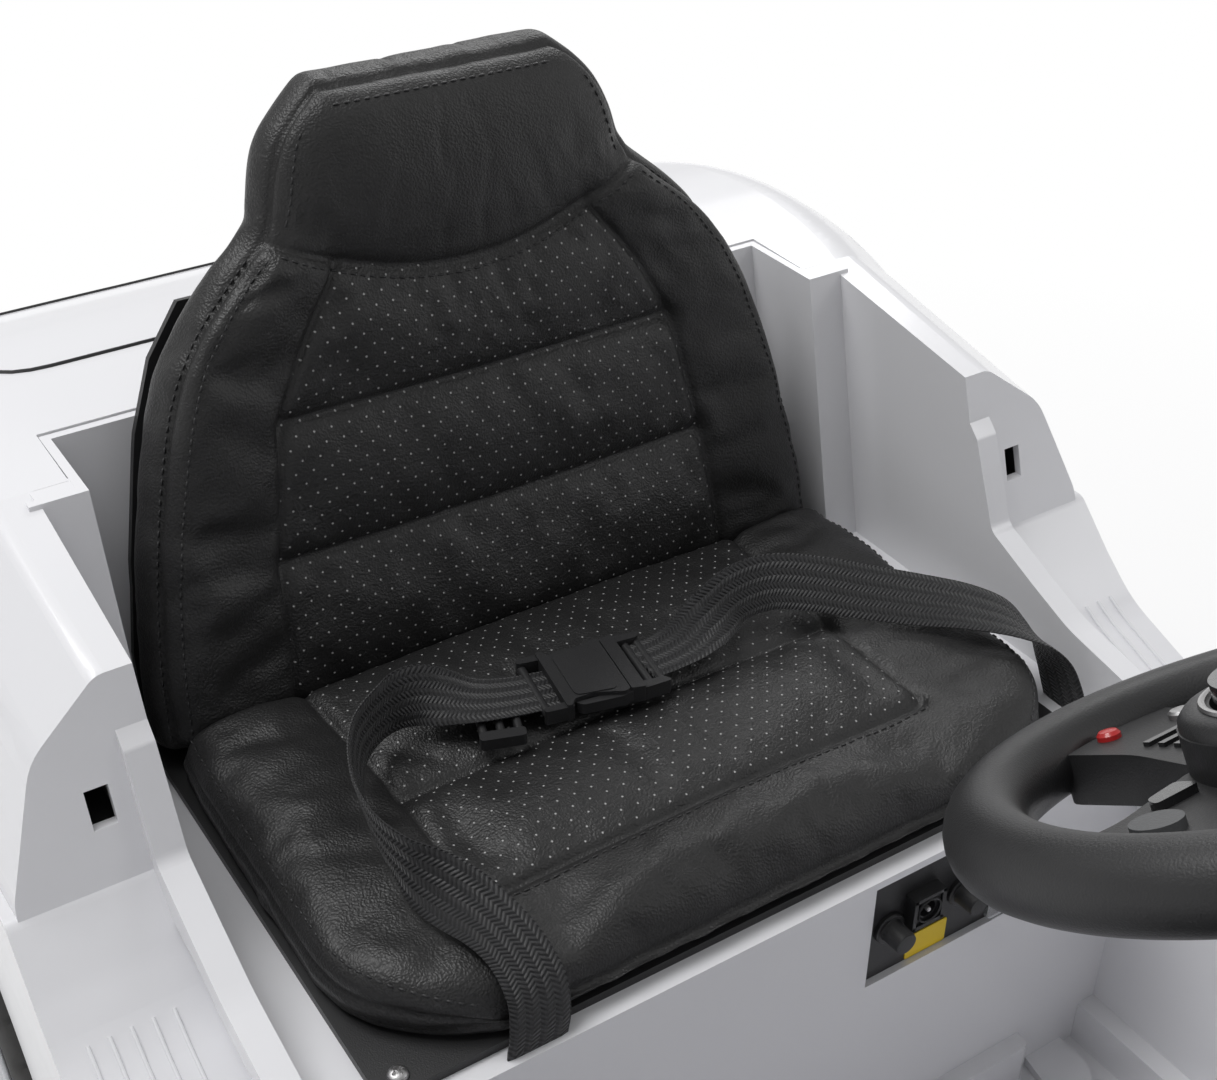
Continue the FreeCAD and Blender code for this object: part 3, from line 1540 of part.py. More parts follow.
def main():
    os.makedirs("parts", exist_ok=True)
    fixed = (chassis_pan, cockpit_tub, front_body, rear_body, bumpers, grille, headlight_bowls,
             headlight_lenses,
             taillight_lenses, dashboard, windscreen, mirror_housings, mirror_glasses, seat_shell,
             seat_cushion,
             seat_back, buckle_socket, buckle_tongue, belt_adjuster, charge_panel, charge_socket,
             cover_screw,
             seat_screws, battery, control_box, motors, gearbox_cases, rear_axle, front_axle_beam,
             column_bush,
             door_pins, steering_column, steering_wheel, horn_button, tie_rod, pedal, power_button,
             direction_rocker,
             socket_cover)
    for make in fixed:
        save(make.__name__, make())
    save("belt_left", ribbon(belt_left_shares, belt_left_across_shares))
    save("belt_right", ribbon(belt_right_shares, belt_right_across_shares))
    for name, side in (("wheel_button_left", 1), ("wheel_button_right", -1)):
        save(name, wheel_button(side))
    for name, make in (("knuckle", knuckle_left), ("door", door_left), ("drive_gear", drive_gear),
                       ("motor_pinion", motor_pinion)):
        piece = make()
        save(name + "_left", piece)
        save(name + "_right", mirrored(piece))
    for end, y in (("front", front_axle_y), ("rear", rear_axle_y)):
        for name, make in (("tyre", tyre), ("rim", rim)):
            piece = make(y)
            save(end + "_" + name + "_left", piece)
            save(end + "_" + name + "_right", mirrored(piece))


main()
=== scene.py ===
import bmesh
import bpy
import json
import math
import numpy as np
from mathutils import Matrix, Vector
from mathutils import noise as swell
from mathutils.bvhtree import BVHTree


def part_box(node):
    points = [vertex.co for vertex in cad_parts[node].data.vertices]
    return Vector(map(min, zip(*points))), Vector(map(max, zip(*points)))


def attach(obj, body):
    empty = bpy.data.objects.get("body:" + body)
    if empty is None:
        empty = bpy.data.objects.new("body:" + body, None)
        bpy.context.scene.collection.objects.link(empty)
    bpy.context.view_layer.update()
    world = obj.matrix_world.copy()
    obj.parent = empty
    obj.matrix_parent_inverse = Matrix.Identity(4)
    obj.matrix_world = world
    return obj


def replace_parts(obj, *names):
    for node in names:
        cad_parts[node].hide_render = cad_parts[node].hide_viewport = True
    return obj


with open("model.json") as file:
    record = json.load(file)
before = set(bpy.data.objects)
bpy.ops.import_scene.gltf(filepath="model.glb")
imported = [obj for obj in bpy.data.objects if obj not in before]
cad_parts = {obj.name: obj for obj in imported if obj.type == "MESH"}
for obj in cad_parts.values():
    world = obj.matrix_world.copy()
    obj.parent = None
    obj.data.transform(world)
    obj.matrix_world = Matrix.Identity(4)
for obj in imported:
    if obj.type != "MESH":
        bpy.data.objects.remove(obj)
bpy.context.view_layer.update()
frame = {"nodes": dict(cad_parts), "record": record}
nodes = frame["nodes"]
slotOf = {part["node"]: part["material_slot"] for part in frame["record"]["subparts"]}
print("frame loaded,", len(nodes), "nodes")


class Value:  # one socket, so shader sums read as sums
    def __init__(self, paint, socket):
        self.paint = paint
        self.socket = socket

    def math(self, operation, first, second=0.0):
        return self.paint.node("ShaderNodeMath", {"operation": operation}, {0: first, 1: second})

    def __add__(self, other):
        return self.math("ADD", self, other)

    def __radd__(self, other):
        return self.math("ADD", other, self)

    def __sub__(self, other):
        return self.math("SUBTRACT", self, other)

    def __rsub__(self, other):
        return self.math("SUBTRACT", other, self)

    def __mul__(self, other):
        return self.math("MULTIPLY", self, other)

    def __rmul__(self, other):
        return self.math("MULTIPLY", other, self)

    def __truediv__(self, other):
        return self.math("DIVIDE", self, other)

    def __rtruediv__(self, other):
        return self.math("DIVIDE", other, self)

    def __pow__(self, other):
        return self.math("POWER", self, other)

    def __mod__(self, other):
        return self.math("FLOORED_MODULO", self, other)

    def __abs__(self):
        return self.math("ABSOLUTE", self)

    def held(self):  # kept from 0 to 1
        return self.math("MINIMUM", self.math("MAXIMUM", self, 0.0), 1.0)

    def wave(self):  # from 1 down to 0 and back over each whole number
        return abs(self % 1.0 - 0.5) * 2


class Paint:  # one material, or the world, and the nodes it is made of
    def __init__(self, name, owner=None):
        self.owner = owner or bpy.data.materials.new(name)
        self.owner.use_nodes = True
        self.tree = self.owner.node_tree
        self.out = self.tree.get_output_node("ALL").inputs["Surface"]
        self.surface = self.out.links[0].from_node

    def node(self, kind, settings=None, sockets=None, out=0):
        made = self.tree.nodes.new(kind)
        for key, value in (settings or {}).items():
            setattr(made, key, value)
        for key, value in (sockets or {}).items():
            self.feed(made.inputs[key], value)
        return Value(self, made.outputs[out])

    def feed(self, socket, value):
        if isinstance(value, Value):
            self.tree.links.new(value.socket, socket)
        else:
            socket.default_value = value

    def finish(self, sockets):
        for key, value in sockets.items():
            self.feed(self.surface.inputs[key], value)
        return self.owner

    def whitened(self, kind, share, *rays):  # gives way to plain white on these rays
        seen = sum(self.node("ShaderNodeLightPath", out=f"Is {ray} Ray") for ray in rays).held()
        white = self.node(kind, {}, {"Color": (1, 1, 1, 1)})
        sockets = {0: seen * share, 1: Value(self, self.surface.outputs[0]), 2: white}
        self.feed(self.out, self.node("ShaderNodeMixShader", {}, sockets))

    def where(self, out="Object"):
        return self.node("ShaderNodeTexCoord", out=out)

    def along(self, place, direction):  # how far a place lies along a direction
        return self.node("ShaderNodeVectorMath", {"operation": "DOT_PRODUCT"}, {0: place, 1: direction}, "Value")

    def stretched(self, place, scale):
        return self.node("ShaderNodeVectorMath", {"operation": "MULTIPLY"}, {0: place, 1: scale})

    def cloud(self, place, scale, detail=2.0, out=0):
        return self.node("ShaderNodeTexNoise", {}, {"Vector": place, "Scale": scale, "Detail": detail}, out)

    def cells(self, place, scale, out=0):
        return self.node("ShaderNodeTexVoronoi", {}, {"Vector": place, "Scale": scale}, out)

    def blend(self, factor, first, second):
        return self.node("ShaderNodeMix", {"data_type": "RGBA"}, {0: factor, 6: first, 7: second}, 2)

    def bump(self, height, depth, strength):
        return self.node("ShaderNodeBump", {}, {"Strength": strength, "Distance": depth, "Height": height})


bodyWhiteLook = {"light": (0.80, 0.80, 0.822, 1), "dark": (0.782, 0.782, 0.808, 1), "rough": 0.20, "peel": 240}


def paintBodyWhite(look):
    paint = Paint("bodyWhite")
    place = paint.where()
    broad = paint.cloud(place, 6.0)
    dust = paint.cloud(place, 60.0, 4.0)
    peel = paint.cloud(place, look["peel"], 1.0)
    return paint.finish({"Base Color": paint.blend(broad, look["light"], look["dark"]),
                         "Roughness": look["rough"] + broad * 0.04 + dust * 0.05,
                         "Normal": paint.bump(peel, 0.00008, 0.2), "Coat Weight": 0.25, "Coat Roughness": 0.08})


leatherLook = {"dark": (0.0100, 0.0100, 0.0104, 1), "light": (0.020, 0.0196, 0.0196, 1), "pebble": 880,
               "pore": 1900, "rough": 0.36, "hole": (0.42, 0.42, 0.42, 1), "pitchAcross": 0.008,
               "pitchAlong": 0.0052, "holeRadius": 0.00062}


def perforations(paint, place, alongWay, look):  # rows of small holes, every second row half a step aside
    across = paint.along(place, (1, 0, 0)) / look["pitchAcross"]
    row = paint.along(place, alongWay) / look["pitchAlong"]
    rowNumber = row - row % 1.0
    sideways = ((across + (rowNumber % 2.0) * 0.5) % 1.0 - 0.5) * look["pitchAcross"]
    upwards = (row % 1.0 - 0.5) * look["pitchAlong"]
    away = (sideways * sideways + upwards * upwards) ** 0.5
    return ((look["holeRadius"] - away) / (look["holeRadius"] * 0.5)).held()


def paintLeather(name, look, alongWay=None):
    paint = Paint(name)
    place = paint.where()
    warp = paint.cloud(place, 180.0, 2.0, "Color")
    bent = paint.node("ShaderNodeVectorMath", {"operation": "MULTIPLY_ADD"},
                      {0: warp, 1: (0.003, 0.003, 0.003), 2: place})
    pebble = paint.cells(bent, look["pebble"])
    pore = paint.cloud(place, look["pore"])
    crease = paint.cloud(paint.stretched(place, (40.0, 90.0, 150.0)), 1.0, 3.0)
    worn = paint.cloud(place, 9.0, 3.0)
    colour = paint.blend((worn * 0.6 + pebble * 0.5).held(), look["light"], look["dark"])
    height = pebble * 0.75 + pore * 0.14 + crease * 0.15
    rough = look["rough"] + worn * 0.10 + pebble * 0.12
    if alongWay:
        hole = perforations(paint, place, alongWay, look)
        colour = paint.blend(hole, colour, look["hole"])
        height = height - hole * 1.4
        rough = rough + hole * 0.3
    return paint.finish({"Base Color": colour, "Roughness": rough, "Normal": paint.bump(height, 0.0004, 0.8),
                         "Specular IOR Level": 0.5})


# dark and light are the ends of the webbing's colour: dark is painted shade in the weave's grooves, light is painted
# light on its ridges
webbingLook = {"dark": (0.0045, 0.0045, 0.005, 1), "light": (0.028, 0.028, 0.030, 1), "thread": 0.0019,
               "chevron": 0.0062}


def paintWebbing(look):  # a herringbone weave along the strap's flat length, with painted light on its ridges and painted shade in its grooves
    paint = Paint("beltWebbing")
    flat = paint.where("UV")
    across = paint.along(flat, (1, 0, 0))
    zigzag = (across / look["chevron"]).wave()
    ridge = (paint.along(flat, (0, 1, 0)) / look["thread"] + zigzag).wave()
    gap = (across / (look["chevron"] / 2)).wave()
    yarn = paint.cloud(paint.stretched(flat, (900.0, 2600.0, 1.0)), 1.0)
    height = ridge * 0.75 + gap * 0.35 + yarn * 0.25
    # painted light and shade: the colour is lighter on the weave's raised ridges and darker in its grooves, and the
    # yarn noise adds random tone
    shade = (ridge * 0.8 + yarn * 0.4 - 0.1).held()
    return paint.finish({"Base Color": paint.blend(shade, look["dark"], look["light"]),
                         "Roughness": 0.62 - ridge * 0.15, "Normal": paint.bump(height, 0.0007, 1.0),
                         "Sheen Weight": 0.12, "Sheen Roughness": 0.4})


def paintMoulded(name, dark, light, rough, grainScale, grainDepth, coat=0.0):
    paint = Paint(name)  # a moulded surface with a fine grain and a little handling wear
    place = paint.where()
    grit = paint.cloud(place, grainScale, 3.0)
    worn = paint.cloud(place, 14.0, 4.0)
    return paint.finish({"Base Color": paint.blend((worn * 1.5 - 0.25).held(), dark, light),
                         "Roughness": rough + worn * 0.12 + grit * 0.08,
                         "Normal": paint.bump(grit, grainDepth, 0.6), "Coat Weight": coat, "Coat Roughness": 0.06})


def paintTyre(dark, dusty):
    paint = Paint("tyreBlack")
    place = paint.where()
    grit = paint.cloud(place, 1400.0, 3.0)
    dust = paint.cloud(place, 26.0, 5.0)
    return paint.finish({"Base Color": paint.blend((dust * 2.2 - 0.8).held(), dark, dusty),
                         "Roughness": 0.62 + dust * 0.2, "Normal": paint.bump(grit, 0.0003, 0.5)})


def paintRim(dark, light):
    paint = Paint("rimSilver")
    place = paint.where()
    sparkle = paint.along(paint.cells(place, 2600.0, "Color"), (0.5, 0.3, 0.2))
    worn = paint.cloud(place, 12.0, 3.0)
    return paint.finish({"Base Color": paint.blend(sparkle, dark, light), "Metallic": 0.75,
                         "Roughness": 0.26 + worn * 0.14 + sparkle * 0.06,
                         "Normal": paint.bump(sparkle, 0.00008, 0.4), "Coat Weight": 0.4, "Coat Roughness": 0.08})


def paintSteel(bright, stained):
    paint = Paint("bareSteel")
    place = paint.where()
    brushed = paint.cloud(paint.stretched(place, (120.0, 2200.0, 2200.0)), 1.0, 3.0)
    stain = paint.cloud(place, 22.0, 4.0)
    return paint.finish({"Base Color": paint.blend(stain, bright, stained), "Metallic": 1.0,
                         "Roughness": 0.24 + brushed * 0.2 + stain * 0.12,
                         "Normal": paint.bump(brushed, 0.00012, 0.5)})


def paintClear(name, tint, rough, share):
    paint = Paint(name)
    smear = paint.cloud(paint.where(), 40.0, 3.0)
    return paint.finish({"Base Color": tint, "Roughness": rough + smear * 0.08, "IOR": 1.49,
                         "Transmission Weight": share, "Normal": paint.bump(smear, 0.0002, 0.15)})


def paintLamp(name, first, second, ribs, share, glow=(1, 1, 1, 1), strength=0.0):
    paint = Paint(name)  # a moulded lens with fine upright ribs
    rib = paint.along(paint.where(), (ribs, 0, 0)).wave()
    return paint.finish({"Base Color": paint.blend(rib, first, second), "Roughness": 0.08 + rib * 0.08, "IOR": 1.49,
                         "Transmission Weight": share, "Normal": paint.bump(rib, 0.0006, 0.6), "Coat Weight": 0.4,
                         "Emission Color": glow, "Emission Strength": strength})


def paintMirror(name, tint):
    paint = Paint(name)
    smear = paint.cloud(paint.where(), 30.0, 4.0)
    return paint.finish({"Base Color": tint, "Metallic": 1.0, "Roughness": 0.03 + smear * 0.07,
                         "Normal": paint.bump(smear, 0.0001, 0.1)})


seat = {"seamY": 0.307, "seamZ": 0.290, "lean": math.radians(12.5), "grid": 0.0058, "groove": 0.0022,
        "pressure": 3.0, "slack": -0.015, "frames": 20, "cap": 0.005, "foldFrom": 0.08, "foldFade": 0.02}
backUp = (0.0, math.sin(seat["lean"]), math.cos(seat["lean"]))
finishes = {
    "body_white": paintBodyWhite(bodyWhiteLook),
    "seat_leather": paintLeather("seatLeather", leatherLook),
    "belt_webbing": paintWebbing(webbingLook),
    "black_plastic": paintMoulded("blackPlastic", (0.012, 0.012, 0.013, 1), (0.024, 0.024, 0.025, 1), 0.36,
                                  1500.0, 0.00022),
    "gloss_black": paintMoulded("glossBlack", (0.008, 0.008, 0.009, 1), (0.017, 0.017, 0.018, 1), 0.16,
                                500.0, 0.00006, 0.35),
    "grey_plastic": paintMoulded("greyPlastic", (0.055, 0.057, 0.060, 1), (0.095, 0.097, 0.10, 1), 0.42,
                                 1100.0, 0.0002),
    "tyre_black": paintTyre((0.010, 0.010, 0.010, 1), (0.045, 0.043, 0.041, 1)),
    "rim_silver": paintRim((0.50, 0.51, 0.53, 1), (0.68, 0.69, 0.71, 1)),
    "bare_steel": paintSteel((0.60, 0.60, 0.61, 1), (0.46, 0.45, 0.44, 1)),
    "clear_cover": paintClear("clearCover", (0.93, 0.95, 0.97, 1), 0.03, 0.95),
    "lamp_clear": paintLamp("lampClear", (0.90, 0.93, 0.96, 1), (0.78, 0.82, 0.88, 1), 160.0, 0.88),
    "lamp_red": paintLamp("lampRed", (0.42, 0.008, 0.012, 1), (0.25, 0.004, 0.006, 1), 150.0, 0.25,
                          (0.5, 0.01, 0.01, 1), 0.06),
    "reflector": paintMirror("reflectorBright", (0.80, 0.81, 0.83, 1)),
    "screen_smoke": paintClear("screenSmoke", (0.22, 0.235, 0.25, 1), 0.04, 0.85),
    "mirror_face": paintMirror("mirrorFace", (0.86, 0.87, 0.89, 1)),
    "gear_nylon": paintMoulded("gearNylon", (0.62, 0.60, 0.54, 1), (0.72, 0.71, 0.66, 1), 0.38, 700.0, 0.0001),
    "battery_case": paintMoulded("batteryCase", (0.030, 0.034, 0.042, 1), (0.055, 0.06, 0.07, 1), 0.4,
                                 900.0, 0.0002),
    "button_red": paintMoulded("buttonRed", (0.38, 0.012, 0.012, 1), (0.52, 0.02, 0.02, 1), 0.24,
                               600.0, 0.00008, 0.3)}
panelBack = paintLeather("backPerforated", leatherLook, backUp)
panelSeat = paintLeather("seatPerforated", leatherLook, (0.0, 1.0, 0.0))
plateYellow = paintMoulded("plateYellow", (0.88, 0.62, 0.01, 1), (0.80, 0.55, 0.01, 1), 0.38, 800.0, 0.00005)
for name, node in nodes.items():
    node.data.materials.clear()
    node.data.materials.append(finishes[slotOf[name]])
print("finishes on,", len(finishes) + 3)


def addPiece(name, mesh, body, slot, *paints):
    piece = bpy.data.objects.new(name, mesh)
    bpy.context.scene.collection.objects.link(piece)
    for paint in paints or (finishes[slot],):
        mesh.materials.append(paint)
    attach(piece, body)
    return piece


def meshOf(name, points, faces):
    mesh = bpy.data.meshes.new(name)
    mesh.from_pydata([tuple(p) for p in points], [], faces)
    mesh.validate()
    mesh.shade_smooth()
    return mesh


def gridFaces(rows, ring, shut=False):  # faces between rings of points that follow one another
    faces = []
    for k in range(rows if shut else rows - 1):
        low, high = k * ring, (k + 1) % rows * ring
        faces += [(low + j, low + (j + 1) % ring, high + (j + 1) % ring, high + j) for j in range(ring)]
    return faces


def turnsOf(count):  # the angles of points round a circle
    return [2 * math.pi * k / count for k in range(count)]


def smoothStep(share):
    share = min(1.0, max(0.0, share))
    return share * share * (3 - 2 * share)


def roundOff(share, power=2):  # from 0 to 1 along a quarter round
    return math.sqrt(max(0.0, 1 - (1 - min(1.0, max(0.0, share))) ** power))


def hollow(away, width):  # 1 in the middle of a seam, fading to 0 beside it
    return math.exp(-(away / width) ** 2)


def between(table, place):  # a value from a table of (place, value)
    if place <= table[0][0]:
        return table[0][1]
    for (low, first), (high, last) in zip(table, table[1:]):
        if place <= high:
            return first + (last - first) * (place - low) / (high - low)
    return table[-1][1]


def eased(table, place, reach):  # the same with its corners rounded
    return sum(between(table, place + reach * k) for k in (-1, -0.5, 0, 0.5, 1)) / 5


def filled(marks, step):  # rows at every mark and about a step apart between them
    rows = [marks[0]]
    for low, high in zip(marks, marks[1:]):
        count = max(1, round((high - low) / step))
        rows += [low + (high - low) * k / count for k in range(1, count + 1)]
    return rows


def onCushion(x, along, up):
    return Vector((x, seat["seamY"] + along, seat["seamZ"] + up))


def onBack(x, up, out):
    lean = seat["lean"]
    return Vector((x, seat["seamY"] + up * math.sin(lean) - out * math.cos(lean),
                   seat["seamZ"] + up * math.cos(lean) + out * math.sin(lean)))


def padFront(pad, rows, bolsterSteps, panelSteps):  # rows and columns that follow the seams
    shares = [(-1, 1 - k / bolsterSteps) for k in range(bolsterSteps)]
    shares += [(0, -1 + 2 * k / panelSteps) for k in range(panelSteps + 1)]
    shares += [(1, (k + 1) / bolsterSteps) for k in range(bolsterSteps)]
    flat, points, seams = [], [], []
    for row in rows:
        wide, panel = pad["outline"](row), pad["panel"](row)
        for zone, share in shares:
            x = panel * share if zone == 0 else zone * (panel + (wide - panel) * share)
            up = pad["bend"](x, row)
            flat.append((x, up))
            points.append(pad["place"](x, up, pad["rise"](x, row)))
            seams.append(pad["seam"](zone, share, row))
    across = len(shares)
    faces, panels = [], []
    for i in range(len(rows) - 1):
        for j in range(across - 1):
            a = i * across + j
            faces.append((a, a + 1, a + across + 1, a + across))
            inPanel = bolsterSteps <= j < bolsterSteps + panelSteps
            panels.append(1 if inPanel and pad["perforated"]((rows[i] + rows[i + 1]) / 2) else 0)
    return flat, points, seams, faces, panels, across


def padMesh(name, pad, rows, bolsterSteps, panelSteps):  # the front, a side band round it and a flat back
    flat, points, seams, faces, panels, across = padFront(pad, rows, bolsterSteps, panelSteps)
    last = len(rows) - 1
    rim = list(range(across)) + [i * across + across - 1 for i in range(1, last + 1)]
    rim += [last * across + j for j in range(across - 2, -1, -1)] + [i * across for i in range(last - 1, 0, -1)]
    before = rim
    for ring, (share, outwards) in enumerate(pad["band"]):
        now = []
        for k, corner in enumerate(rim):
            ahead = Vector(flat[rim[(k + 1) % len(rim)]]) - Vector(flat[rim[k - 1]])
            away = Vector((ahead.y, -ahead.x)).normalized() * outwards
            x, up = flat[corner][0] + away.x, flat[corner][1] + away.y
            now.append(len(points))
            points.append(pad["place"](x, up, pad["rim"] + (pad["floor"] - pad["rim"]) * share))
            seams.append(0.0 if ring < len(pad["band"]) - 1 else 1.0)
        for k in range(len(rim)):
            after = (k + 1) % len(rim)
            faces.append((before[after], before[k], now[k], now[after]))
        before = now
    faces.append(tuple(reversed(before)))
    for corner in rim:
        seams[corner] = 1.0
    mesh = meshOf(name, points, faces)
    mesh.polygons.foreach_set("material_index", panels + [0] * (len(faces) - len(panels)))
    return mesh, seams


puffing = {"quality": 6, "mass": 0.25, "tension_stiffness": 14, "compression_stiffness": 14, "shear_stiffness": 6,
           "bending_stiffness": 0.8, "use_pressure": True, "uniform_pressure_force": seat["pressure"],
           "shrink_min": seat["slack"], "vertex_group_mass": "seam", "pin_stiffness": 1.0}


def puffed(piece, seams):  # the cover swells between its seams under a little pressure
    piece.data.attributes.new("seamShare", "FLOAT", "POINT").data.foreach_set("value", seams)
    group = piece.vertex_groups.new(name="seam")
    for index, weight in enumerate(seams):
        group.add([index], weight, "REPLACE")
    cloth = piece.modifiers.new("puff", "CLOTH")
    for key, value in puffing.items():
        setattr(cloth.settings, key, value)
    cloth.settings.effector_weights.gravity = 0
    cloth.collision_settings.use_collision = False
    cloth.point_cache.frame_end = seat["frames"]
    stage = bpy.context.scene
    for step in range(1, seat["frames"] + 1):
        stage.frame_set(step)
    shaped = piece.evaluated_get(bpy.context.evaluated_depsgraph_get()).data
    moved = [corner.co.copy() for corner in shaped.vertices]
    piece.modifiers.clear()
    stage.frame_set(1)
    furthest = 0.0
    for corner, place in zip(piece.data.vertices, moved):
        shift = place - corner.co
        furthest = max(furthest, shift.length)
        if shift.length > seat["cap"]:
            shift *= seat["cap"] / shift.length
        corner.co += shift
    print(piece.name, "puffed, furthest", round(furthest * 1000, 1), "mm")


def finer(piece):  # the piece's mesh with smaller faces
    split = piece.modifiers.new("finer", "SUBSURF")
    split.levels = 2
    split.use_limit_surface = False
    graph = bpy.context.evaluated_depsgraph_get()
    mesh = bpy.data.meshes.new_from_object(piece.evaluated_get(graph), preserve_all_data_layers=True,
                                           depsgraph=graph)
    piece.modifiers.clear()
    piece.data = mesh
    return mesh


unevenness = ((42.0, 0.0006), (110.0, 0.00022))  # waves per metre and their height


def sewn(piece, folds, flatOf):  # the seams' grooves and the cover's soft folds
    mesh = finer(piece)
    count = len(mesh.vertices)
    spots, normals, weights = (np.empty(count * n, np.float32) for n in (3, 3, 1))
    mesh.vertices.foreach_get("co", spots)
    mesh.vertex_normals.foreach_get("vector", normals)
    mesh.attributes["seamShare"].data.foreach_get("value", weights)
    spots, normals = spots.reshape(-1, 3), normals.reshape(-1, 3)
    uneven = np.array([sum(swell.noise(Vector(p) * waves) * height for waves, height in unevenness) for p in spots])
    x, up, out = flatOf(spots)
    fold = np.zeros(count)
    for x0, up0, x1, up1, width, depth in folds:
        runX, runUp = x1 - x0, up1 - up0
        share = np.clip(((x - x0) * runX + (up - up0) * runUp) / (runX ** 2 + runUp ** 2), 0, 1)
        away = np.hypot(x - x0 - runX * share, up - up0 - runUp * share)
        fold += depth * np.exp(-(away / width) ** 2) * np.sin(np.pi * np.clip(share, seat["foldFrom"], 1))
    front = np.clip((out + seat["foldFade"]) / seat["foldFade"], 0, 1)
    shift = uneven + fold * front - seat["groove"] * np.clip(weights, 0, 1) ** 3
    mesh.vertices.foreach_set("co", (spots + normals * shift[:, None]).astype(np.float32).ravel())
    mesh.update()
    mesh.shade_smooth()


backRest = {
    "outlineAt": ((0.0, 0.171), (0.030, 0.169), (0.055, 0.165), (0.085, 0.159), (0.110, 0.152), (0.135, 0.144),
                  (0.155, 0.135), (0.175, 0.120), (0.190, 0.104), (0.203, 0.0885), (0.212, 0.0845), (0.225, 0.0815),
                  (0.240, 0.076), (0.251, 0.066), (0.258, 0.052)),  # height and half width
    "panelAt": ((0.0, 0.115), (0.067, 0.109), (0.127, 0.098), (0.185, 0.069), (0.258, 0.034)), "ease": 0.004,
    "channels": (0.0668, 0.1273), "headRow": 0.203, "headSag": 0.027, "height": 0.258, "thick": 0.032,
    "rim": -0.005, "bolster": 0.006, "crown": 0.003, "head": 0.006, "dip": 0.0035, "headDip": 0.003,
    "seamWidth": 0.006, "bolsterFrom": 0.02, "bolsterOver": 0.8, "puffFade": 0.010, "headFade": 0.016,
    "sideRound": 0.020, "topRound": 0.016, "columns": (10, 36)}
backFolds = (  # from x and height to x and height, then width and depth
    (-0.120, 0.088, -0.156, 0.094, 0.006, -0.0020), (-0.118, 0.070, -0.155, 0.074, 0.006, -0.0018),
    (-0.120, 0.050, -0.160, 0.046, 0.007, -0.0016), (0.112, 0.110, 0.146, 0.118, 0.007, -0.0013),
    (0.119, 0.060, 0.160, 0.056, 0.007, -0.0014), (-0.100, 0.145, -0.128, 0.158, 0.006, -0.0020),
    (-0.080, 0.186, -0.108, 0.180, 0.0045, -0.0032), (-0.088, 0.196, -0.116, 0.172, 0.004, -0.0022),
    (0.080, 0.178, 0.110, 0.168, 0.005, -0.0018), (0.02, 0.108, 0.085, 0.096, 0.008, -0.0009),
    (-0.07, 0.092, -0.01, 0.100, 0.008, -0.0009), (0.05, 0.208, 0.070, 0.230, 0.008, -0.0008))
near = 0.0005  # rows and columns this close to a seam are on it


def backOutline(row):
    return eased(backRest["outlineAt"], row, backRest["ease"])


def backPanel(row):
    return eased(backRest["panelAt"], row, backRest["ease"])


def backBend(x, row):  # rows sag to the headrest's curved lower seam
    channel, head, top = backRest["channels"][1], backRest["headRow"], backRest["height"]
    share = smoothStep((row - channel) / (head - channel)) if row < head else 1 - (row - head) / (top - head)
    return row - backRest["headSag"] * share * (1 - min(1.0, abs(x) / backOutline(head)) ** 2)


def backRise(x, row):
    wide, panel, aboveHead = backOutline(row), backPanel(row), row - backRest["headRow"]
    if abs(x) > panel:
        share = (abs(x) - panel) / (wide - panel)
        share = min(1.0, share * backRest["bolsterOver"] + backRest["bolsterFrom"])
        puff = backRest["bolster"] * math.sin(math.pi * share)
    else:
        puff = backRest["crown"] * (1 - (x / panel) ** 2)
    if abs(x) <= panel + near:
        for channel in backRest["channels"]:
            puff -= backRest["dip"] * hollow(row - channel, backRest["seamWidth"])
    top = backRest["head"] * (1 - min(1.0, abs(x) / wide) ** 4) * smoothStep(aboveHead / backRest["headFade"])
    dip = backRest["headDip"] * hollow(aboveHead, backRest["seamWidth"])
    rise = puff * (1 - smoothStep(aboveHead / backRest["puffFade"])) + top - dip
    edge = min((wide - abs(x)) / backRest["sideRound"], (backRest["height"] - row) / backRest["topRound"])
    return backRest["rim"] + (rise - backRest["rim"]) * roundOff(edge)


def seamAt(zone, share, row, last, lines):  # 1 on the panel's border below its last seam, and on each line
    onBorder = abs(abs(share) - 1) < near and row < last + near
    return 1.0 if zone == 0 and (onBorder or any(abs(row - line) < near for line in lines)) else 0.0


def backSeam(zone, share, row):
    head = backRest["headRow"]
    return 1.0 if abs(row - head) < near else seamAt(zone, share, row, head, backRest["channels"])


backPad = {"outline": backOutline, "panel": backPanel, "bend": backBend, "rise": backRise, "place": onBack,
           "seam": backSeam, "perforated": lambda row: row < backRest["headRow"], "rim": backRest["rim"],
           "band": ((0.22, 0.003), (0.5, 0.0045), (0.78, 0.003), (1.0, -0.004)), "floor": -backRest["thick"]}


def flatBack(spots):
    lean = seat["lean"]
    y, z = spots[:, 1] - seat["seamY"], spots[:, 2] - seat["seamZ"]
    return spots[:, 0], y * math.sin(lean) + z * math.cos(lean), z * math.sin(lean) - y * math.cos(lean)


def makeBackPad():
    marks = (0.0,) + backRest["channels"] + (backRest["headRow"], backRest["height"])
    mesh, seams = padMesh("backPad", backPad, filled(marks, seat["grid"]), *backRest["columns"])
    piece = addPiece("backPad", mesh, "chassis", "seat_leather", finishes["seat_leather"], panelBack)
    puffed(piece, seams)
    sewn(piece, backFolds, flatBack)
    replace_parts(piece, "seat_back")
    return piece


